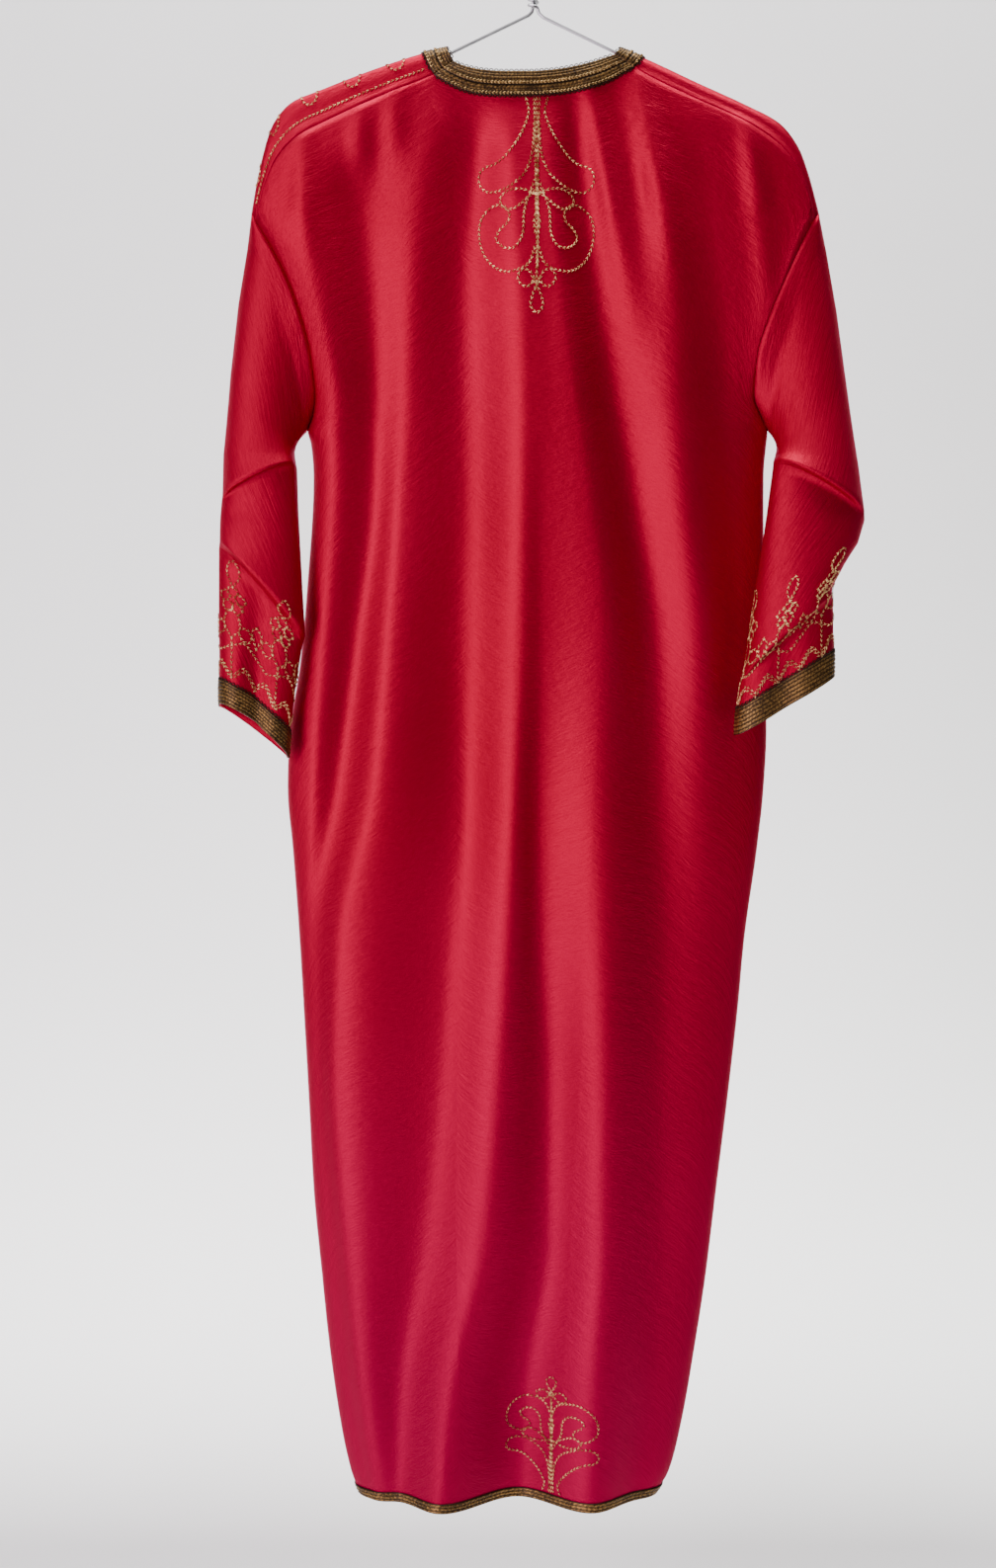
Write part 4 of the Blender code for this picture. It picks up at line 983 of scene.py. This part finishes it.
# Braids. A band's rows run across it, from the edge of the cloth inwards.
Cord = namedtuple("Cord", "middle half height slant")
NECK_CORDS = [
    Cord(1.2, 1.0, 0.7, 0), Cord(3.4, 1.0, 0.8, 1), Cord(5.6, 1.1, 0.9, -1), Cord(7.7, 0.9, 0.7, 1),
    Cord(9.7, 1.1, 1.2, -1), Cord(13.4, 1.3, 1.0, 1), Cord(16.0, 1.2, 0.9, -1), Cord(18.4, 1.1, 0.8, 1),
]  # fmt: skip
CUFF_CORDS = [
    Cord(1.5, 1.4, 0.8, 1), Cord(4.8, 1.5, 1.0, -1), Cord(8.2, 1.5, 1.1, 1), Cord(11.6, 1.5, 1.0, -1),
    Cord(15.0, 1.5, 1.1, 1), Cord(18.3, 1.4, 0.9, -1), Cord(21.2, 1.2, 0.7, 1),
]  # fmt: skip
HEM_CORDS = [Cord(1.4, 1.2, 0.8, 1), Cord(4.3, 1.4, 1.0, -1), Cord(7.3, 1.3, 0.8, 1)]
BRAID = 0.7  # mm, the woven band under its cords
BRAID_LIFT = CLOTH / 2 + SEAM_GAP + BRAID / 2


def cord_relief(across, along, cords):
    """How high a braid's cords stand: each is a row of slanting strands."""
    height = np.zeros(np.broadcast(across, along).shape)
    for cord in cords:
        place = (across - cord.middle) / cord.half
        round_top = np.sqrt(np.clip(1 - place**2, 0, 1))
        strand = 0.68 + 0.32 * np.cos(2 * math.pi * (along / 3.2 + cord.slant * place * 0.28))
        height = np.maximum(height, cord.height * round_top * strand)
    return height


def lay_band(name, points, normals, widths, cords, gold, closed=False):
    """A braid on a grid of cloth points, widths giving each row's distance from the edge."""
    along = lengths_along(points[:1], 1)
    relief = cord_relief(np.asarray(widths)[:, None], along, cords)
    middle = points + normals * BRAID_LIFT
    return thin_wall(name, middle, normals, gold, BRAID, closed=closed, relief=relief)


def even_columns(points, step):
    """Fractional columns that lie a step apart along a row of points."""
    length = lengths_along(points, 0)
    count = max(3, int(length[-1] / step) + 1)
    return np.interp(np.linspace(0, length[-1], count), length, np.arange(len(points)))


def across_band(width, step=0.55):
    return np.linspace(0, width, int(width / step) + 1)


def surface_tree(points):
    rows, columns = points.shape[:2]
    corners = [i * columns + j for i in range(rows - 1) for j in range(columns - 1)]
    triangles = [t for c in corners for t in ((c, c + 1, c + columns), (c + 1, c + columns + 1, c + columns))]
    return BVHTree.FromPolygons(points.reshape(-1, 3).tolist(), triangles)


def depth_on(tree, x, z, towards):
    """The depth of a panel at each x, z, found straight along Y."""
    found = []
    for a, b in zip(np.ravel(x), np.ravel(z)):
        hit = tree.ray_cast(Vector((a, -400.0 * towards, b)), Vector((0, towards, 0)))[0]
        found.append(np.nan if hit is None else hit[1])
    found = np.array(found).reshape(np.shape(x))
    for row in found if found.ndim > 1 else [found]:
        lost = np.isnan(row)
        if lost.any() and not lost.all():
            row[lost] = np.interp(np.nonzero(lost)[0], np.nonzero(~lost)[0], row[~lost])
    return found


NECK_END_EASE = 0.22  # share of the neckline over which a band turns to its end's direction
FRONT_END_EASE = 0.30


def spread(turns, first, last, ease):
    """Turns the directions off a neckline gently towards those at its ends."""
    place = np.linspace(0, 1, len(turns))[:, None]
    to_first, to_last = smooth(1 - place / ease), smooth(1 - (1 - place) / ease)
    return unit(turns * (1 - to_first) * (1 - to_last) + first * to_first + last * to_last)


def back_neck_grid(back):
    points = back[0]
    first, last = SHOULDER_COLUMNS * FINER, (SHOULDER_COLUMNS + NECK_COLUMNS) * FINER
    edge = points[0, first : last + 1]
    off = away_from_neck(edge, np.array([0.0, -40.0]))
    start = unit(points[0, first - 1] - points[0, first])[[0, 2]]
    end = unit(points[0, last + 1] - points[0, last])[[0, 2]]
    off = spread(off, start, end, NECK_END_EASE)
    columns = even_columns(edge, 1.3)
    picks = np.arange(len(edge))
    edge_x, edge_z = (np.interp(columns, picks, edge[:, k]) for k in (0, 2))
    off_x, off_z = (np.interp(columns, picks, off[:, k]) for k in (0, 1))
    widths = across_band(NECK_BRAID_WIDTH)
    x, z = edge_x + widths[:, None] * off_x, edge_z + widths[:, None] * off_z
    ends = smooth(1 - np.minimum(columns, columns[-1] - columns) / 3.0)
    z = z - SEAM_GAP * 1.5 * ends
    grid = np.stack([x, body_depth(x, z, True), z], -1)
    normals = grid_normals(grid, np.array([0.0, -1.0, 0.0]))
    return grid, normals, widths


def front_neck_grid(side, front):
    """From the shoulder seam over the strip, then round the front neckline to the opening."""
    points, _, _, over, inside = front
    strip = points[: over + 1, inside:]
    widths = across_band(NECK_BRAID_WIDTH)
    length = np.linalg.norm(np.diff(strip, axis=1), axis=-1).cumsum(axis=1)
    rows = []
    for i in range(over + 1):
        reach = np.concatenate([[0], length[i]])
        rows.append(np.stack([np.interp(widths, reach, strip[i, :, k]) for k in range(3)], -1))
    over_strip = np.array(rows)
    edge = points[over, : inside + 1][::-1]
    off = away_from_neck(edge, np.array([0.0, -60.0]))
    at_seam = unit(over_strip[-1, -1] - over_strip[-1, 0])[[0, 2]]
    off = spread(off, at_seam, np.array([0.0, -1.0]), FRONT_END_EASE)
    x = edge[:, 0] + widths[:, None] * off[:, 0]
    x[:, -1] = edge[-1, 0]
    z = edge[:, 2] + widths[:, None] * off[:, 1]
    y = depth_on(surface_tree(points[over:]), x + outward_of(side)[0] * 0.01, z, -1)
    y[0] = edge[:, 1]
    round_neck = np.stack([x, y, z], -1).transpose(1, 0, 2)
    line = np.concatenate([over_strip, round_neck[1:]]).transpose(1, 0, 2)
    facing = np.zeros(line.shape)
    facing[..., 1] = 1.0
    facing[:, : over - 4, 1] = -1.0
    facing[:, over - 4 : over] = (0.0, 0.0, 1.0)
    normals = grid_normals(line, facing)
    columns = even_columns(line[0], 1.3)
    row = np.repeat(np.arange(len(widths), dtype=float)[:, None], len(columns), 1)
    column = np.repeat(columns[None], len(widths), 0)
    return *on_grid(line, normals, row, column), widths


def front_edge_grid(front):
    points, normals, _, over, _ = front
    points, normals = points[over:], normals[over:]
    widths = across_band(FRONT_BRAID_WIDTH, 0.8)
    top_z, low_z = -NECK_FRONT_DEPTH - NECK_BRAID_WIDTH - 0.8, -1416.6
    z = np.linspace(top_z, low_z, int((top_z - low_z) / 1.9) + 1)
    row = np.interp(-z, -points[:, 0, 2], np.arange(len(points)))
    column = widths / (FRONT_NECK_X[1] / FINER)
    row, column = np.meshgrid(row, column)
    grid, normals = on_grid(points, normals, row, column)
    return grid, normals, widths


def hem_grid(back, fronts):
    parts = []
    for points, normals in (fronts["left"][:2], back[:2], fronts["right"][:2]):
        widths = across_band(9.0)
        row = len(points) - 1 - widths / 4.5
        columns = even_columns(points[-1], 1.9)[1:-1]
        row, column = np.meshgrid(row, columns, indexing="ij")
        parts.append(on_grid(points, normals, row, column))
    (left, left_n), (middle, middle_n), (right, right_n) = parts
    grid = np.concatenate([left, middle, right[:, ::-1]], axis=1)
    return grid, np.concatenate([left_n, middle_n, right_n[:, ::-1]], axis=1), widths


def cuff_grid(sleeve):
    points, normals = (np.concatenate([grid, grid[:, :1]], axis=1) for grid in sleeve)
    widths = across_band(23.0, 0.6)
    row = len(points) - 1 - 5 * widths / 23.0
    columns = even_columns(points[-1], 1.4)[:-1]
    row, column = np.meshgrid(row, columns, indexing="ij")
    return *on_grid(points, normals, row, column), widths


def line_on(grid, normals, widths, at, height, ends=0):
    """A line along a band at a distance from its edge, raised off its middle."""
    row = np.full(grid.shape[1], float(np.interp(at, widths, np.arange(len(widths)))))
    points, outs = on_grid(grid, normals, row, np.arange(grid.shape[1], dtype=float))
    last = len(points) - ends
    return points[ends:last] + outs[ends:last] * (BRAID_LIFT + height), outs[ends:last]


# Embroidery
def on_back_lines(lines, x, top_z, down, wide, tall):
    """The scroll's lines laid on the back, its top at x, top_z, running down (-1) or up (1)."""
    laid = []
    for line in lines:
        points, outs = on_back(x + line[:, 0] * wide, top_z + down * line[:, 1] * tall)
        laid.append((points + outs * (CLOTH / 2 + 0.35), outs))
    return laid


def sleeve_place(sleeve):
    """A function from (mm round the cuff, mm up from it) to points and normals on the sleeve."""
    points, normals = (np.concatenate([grid, grid[:, :1]], axis=1) for grid in sleeve)
    round_cuff = lengths_along(points[-1], 0)
    up = lengths_along(points[::-1], 0)

    def place(u, v):
        u = np.mod(u, round_cuff[-1])
        column = np.interp(u, round_cuff, np.arange(len(round_cuff)))
        near = np.clip(np.rint(column).astype(int), 0, points.shape[1] - 1)
        row = np.array([np.interp(b, up[:, c], np.arange(len(up))) for b, c in zip(v, near)])
        laid, outs = on_grid(points, normals, len(points) - 1 - row, column)
        return laid + outs * (CLOTH / 2 + 0.35), unit(outs)

    return place, round_cuff[-1]


def cuff_lines(sleeve):
    """The cuff's repeating band: scallops, a wavy line, rings, drops and five-petalled flowers."""
    place, round_length = sleeve_place(sleeve)
    units = max(4, round(round_length / 48))
    pitch = round_length / units
    lines = []
    for n in range(units):
        c = (n + 0.5) * pitch
        half = pitch / 2
        flat = [
            [(c - half, 26), (c - half * 0.5, 36), (c, 26), (c + half * 0.5, 36), (c + half, 26)],
            [(c - half, 29), (c - half * 0.5, 39), (c, 29), (c + half * 0.5, 39), (c + half, 29)],
            [(c, 27), (c, 45), (c, 60)],
            [(c - half, 54), (c - half * 0.5, 48), (c, 54), (c + half * 0.5, 60), (c + half, 54)],
            [(c, 61), (c - 7, 70), (c - 5, 81), (c, 84), (c + 5, 81), (c + 7, 70), (c, 61)],
            [(c - half, 62), (c - half + 5, 74), (c - half, 80)],
            [(c + half, 62), (c + half - 5, 74), (c + half, 80)],
            [(c, 104), (c - 5, 114), (c - 4, 122), (c, 126), (c + 4, 122), (c + 5, 114), (c, 104)],
        ]
        lines += [smooth_curve(line) for line in flat]
        lines += [round_loop(c + way * half * 0.52, 68, 6) for way in (1, -1)]
        lines += [
            round_loop(c + 7 * math.cos(a), 93 + 7 * math.sin(a), 4.4)
            for a in np.radians([90, 162, 234, 306, 18])
        ]  # fmt: skip
    return [place(line[:, 0], line[:, 1]) for line in lines]


FAR_LOOPS = 6.5  # rows of the strip by which the right shoulder's loops lie behind its top line


def shoulder_lines(side, front):
    """On the shoulder strip: a chain beside the seam, and U-shaped loops that cross the top."""
    points, normals, _, over, inside = front
    strip, outs = points[: over + 4, inside:], normals[: over + 4, inside:]
    along = lengths_along(strip[5], 0)
    total = along[-1]

    def place(u, share):
        column = np.interp(u, along, np.arange(len(along)))
        laid, out = on_grid(strip, outs, np.asarray(share, float), column)
        return laid + out * (CLOTH / 2 + 0.35), out

    far, tall = (FAR_LOOPS, 1.9) if side == "right" else (0, 4.6)
    u = np.linspace(26, total - 14, 120)
    lines = [place(u, np.full(120, share)) for share in ((14.5,) if far else (3.0, 14.5))]
    for n in range(int((total - 50) / 40) + 1):
        a = np.linspace(-0.5, math.pi + 0.5, 40)
        lines.append(place(46 + n * 40 + 8 * np.cos(a), far + 10.5 - tall * np.sin(a)))
    return lines


# Stage, in metres
FLOOR_Z, WALL_Y, WALL_TOP = -1.80, 1.55, 2.4
BEND_RADIUS = 1.50
STAGE_REACH = 4.0


def make_stage():
    """A floor that curves up into a wall, seen only from the side that the part stands on."""
    material, m, shader = new_material("stage_floor", Roughness=0.85)
    place = m.add("ShaderNodeTexCoord", None, None, out=3)
    tone = m.mix(m.noise(place, 3.0), (0.80, 0.80, 0.79), (0.86, 0.86, 0.85))
    join_shader(m, shader, Base_Color=tone)
    from_behind = m.add("ShaderNodeNewGeometry", None, None, out=6)
    clear = m.add("ShaderNodeBsdfTransparent")
    solid = Value(m, shader.outputs["BSDF"])
    seen = m.add("ShaderNodeMixShader", None, {0: from_behind, 1: solid, 2: clear})
    m.tree.links.new(seen.socket, m.tree.nodes["Material Output"].inputs["Surface"])
    bend = np.linspace(0, math.pi / 2, 33)
    start_y, middle_z = WALL_Y - BEND_RADIUS, FLOOR_Z + BEND_RADIUS
    profile = [(-STAGE_REACH, FLOOR_Z), (start_y, FLOOR_Z)]
    for a in bend[1:]:
        profile.append((start_y + BEND_RADIUS * math.sin(a), middle_z - BEND_RADIUS * math.cos(a)))
    profile.append((WALL_Y, WALL_TOP))
    points = [(x, y, z) for x in (-STAGE_REACH, STAGE_REACH) for y, z in profile]
    count = len(profile)
    faces = [[count + i, count + i + 1, i + 1, i] for i in range(count - 1)]
    stage = new_piece("stage_floor", points, faces, [material])


def area_light(name, place, aim, power, size, colour):
    light = bpy.data.lights.new(name, "AREA")
    light.energy, light.shape, light.color = power, "RECTANGLE", colour
    light.size, light.size_y = size
    obj = bpy.data.objects.new(name, light)
    obj.location = place
    obj.rotation_euler = (Vector(aim) - Vector(place)).to_track_quat("-Z", "Y").to_euler()
    bpy.context.scene.collection.objects.link(obj)


ROOM_LIGHT = 0.11
# Name, place and aim in metres, watts, size, colour
LIGHTS = [
    ("key", (-1.45, -2.00, -0.25), (0.0, 0.0, -0.70), 56, (0.7, 2.3), (1.0, 0.84, 0.98)),
    ("low", (-1.25, -1.8, -1.50), (0.0, 0.0, -1.15), 9, (0.7, 0.5), (1.0, 0.78, 1.0)),
    ("wall", (0.0, -0.1, 1.9), (0.0, 1.4, -0.6), 150, (3.0, 0.8), (1.0, 1.0, 1.0)),
    ("wall_low", (0.0, 0.45, -1.25), (0.0, 1.3, -1.15), 26, (2.4, 0.3), (1.0, 1.0, 1.0)),
]


def make_lights():
    world = bpy.data.worlds.new("soft_room")
    world.use_nodes = True
    background = world.node_tree.nodes["Background"]
    background.inputs["Color"].default_value = (1.0, 0.98, 0.97, 1)
    background.inputs["Strength"].default_value = ROOM_LIGHT
    bpy.context.scene.world = world
    for light in LIGHTS:
        area_light(*light)


def make_camera():
    camera = bpy.data.cameras.new("photo_view")
    camera.lens, camera.sensor_width, camera.sensor_fit = 52.0, 36.0, "AUTO"
    obj = bpy.data.objects.new("photo_view", camera)
    obj.location = (-0.030, -2.0, -0.50)
    obj.rotation_euler = (math.pi / 2 - math.atan2(0.264, 2.0), 0.0, 0.0)
    bpy.context.scene.collection.objects.link(obj)
    bpy.context.scene.camera = obj


# Sizes in metres of what repeats along the lines
NAPE_STITCH = {"Step": 0.0040, "Width": 0.0017, "Height": 0.0010}
FINE_STITCH = {"Step": 0.0038, "Width": 0.0015, "Height": 0.0009}
CHAIN = {"Step": 0.0030, "Width": 0.0024, "Height": 0.0013}
PICOTS = {"Step": 0.0042, "Ring": 0.0034, "Cord": 0.0009}


def stitched(name, tree, lines, **sizes):
    """Thread or cord along lines; it replaces nothing, and rides on the body."""
    obj = run_tree(name, tree, lines, **sizes)
    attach(obj, "root")
    return obj


def main():
    make_camera()
    make_lights()
    make_stage()
    satin = crepe_satin()
    # the braid gets painted glints and painted shade in its grooves; the cord and the thread get painted
    # glints
    gold = metal_thread("antique_gold_braid", (0.060, 0.028, 0.005), (0.46, 0.25, 0.065), 620.0, 0.34, True)
    bright_gold = metal_thread("bright_gold_cord", (0.10, 0.05, 0.012), (0.62, 0.40, 0.15), 420.0, 0.28)
    thread = metal_thread("pale_gold_thread", (0.24, 0.06, 0.015), (1.0, 0.68, 0.30), 230.0, 0.24)
    steel = wire_steel()
    plait, gold_plait, picot = plait_tree(thread), plait_tree(bright_gold), loops_tree(gold)

    back = make_back(satin)
    fronts = {side: make_front(side, satin) for side in ("left", "right")}
    sleeves = {side: make_sleeve(side, back, fronts[side], satin) for side in ("left", "right")}

    bands = {"neck_trim_back": (back_neck_grid(back), NECK_CORDS, False)}
    for side in ("left", "right"):
        bands[f"neck_trim_{side}"] = (front_neck_grid(side, fronts[side]), NECK_CORDS, False)
        bands[f"front_trim_{side}"] = (front_edge_grid(fronts[side]), NECK_CORDS, False)
        bands[f"cuff_trim_{side}"] = (cuff_grid(sleeves[side]), CUFF_CORDS, True)
    bands["hem_trim"] = (hem_grid(back, fronts), HEM_CORDS, False)
    extra = {"neck": [], "edge": []}
    for name, ((grid, normals, widths), cords, closed) in bands.items():
        lay_band(name, grid, normals, widths, cords, gold, closed)
        if name.startswith("neck"):
            extra["neck"] += [line_on(grid, normals, widths, at, 1.0, 3) for at in (9.7, 18.6)]
            extra["edge"] += [line_on(grid, normals, widths, at, 0.1, 3) for at in (0.2, 20.2)]
        if name.startswith("cuff"):
            extra["edge"] += [line_on(grid, normals, widths, 22.8, 0.1)]
        if name.startswith("front"):
            extra["edge"] += [line_on(grid, normals, widths, 20.4, 0.1, 3)]

    scroll = scroll_lines()
    motif = on_back_lines(scroll, 3.0, -174.5, -1, 1.0, 1.0)
    hem_motif = on_back_lines(scroll, 19.0, -1413.0, 1, 0.85, 0.6)
    stitched("nape_embroidery", plait, motif, **NAPE_STITCH)
    stitched("hem_embroidery", plait, hem_motif, **FINE_STITCH)
    stitched("neck_chain", gold_plait, extra["neck"], **CHAIN)
    stitched("trim_picots", picot, extra["edge"], **PICOTS)
    for side in ("left", "right"):
        lines = cuff_lines(sleeves[side]) + shoulder_lines(side, fronts[side])
        stitched(f"sleeve_embroidery_{side}", plait, lines, **FINE_STITCH)

    for name, node, slot in [
        ("back_panel", "back", "red_satin"),
        ("front_panel_left", "front_left", "red_satin"),
        ("front_panel_right", "front_right", "red_satin"),
        ("sleeve_cloth_left", "sleeve_left", "red_satin"),
        ("sleeve_cloth_right", "sleeve_right", "red_satin"),
        ("neck_trim_back", "neck_braid_back", "gold_braid"),
        ("neck_trim_left", "neck_braid_left", "gold_braid"),
        ("neck_trim_right", "neck_braid_right", "gold_braid"),
        ("front_trim_left", "front_braid_left", "gold_braid"),
        ("front_trim_right", "front_braid_right", "gold_braid"),
        ("cuff_trim_left", "cuff_braid_left", "gold_braid"),
        ("cuff_trim_right", "cuff_braid_right", "gold_braid"),
        ("hem_trim", "hem_braid", "gold_braid"),
    ]:
        piece = bpy.data.objects[name]
        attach(piece, "root")
        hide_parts(node)
    hanger = bpy.data.objects["hanger"]
    hanger.material_slots[0].material = steel


main()
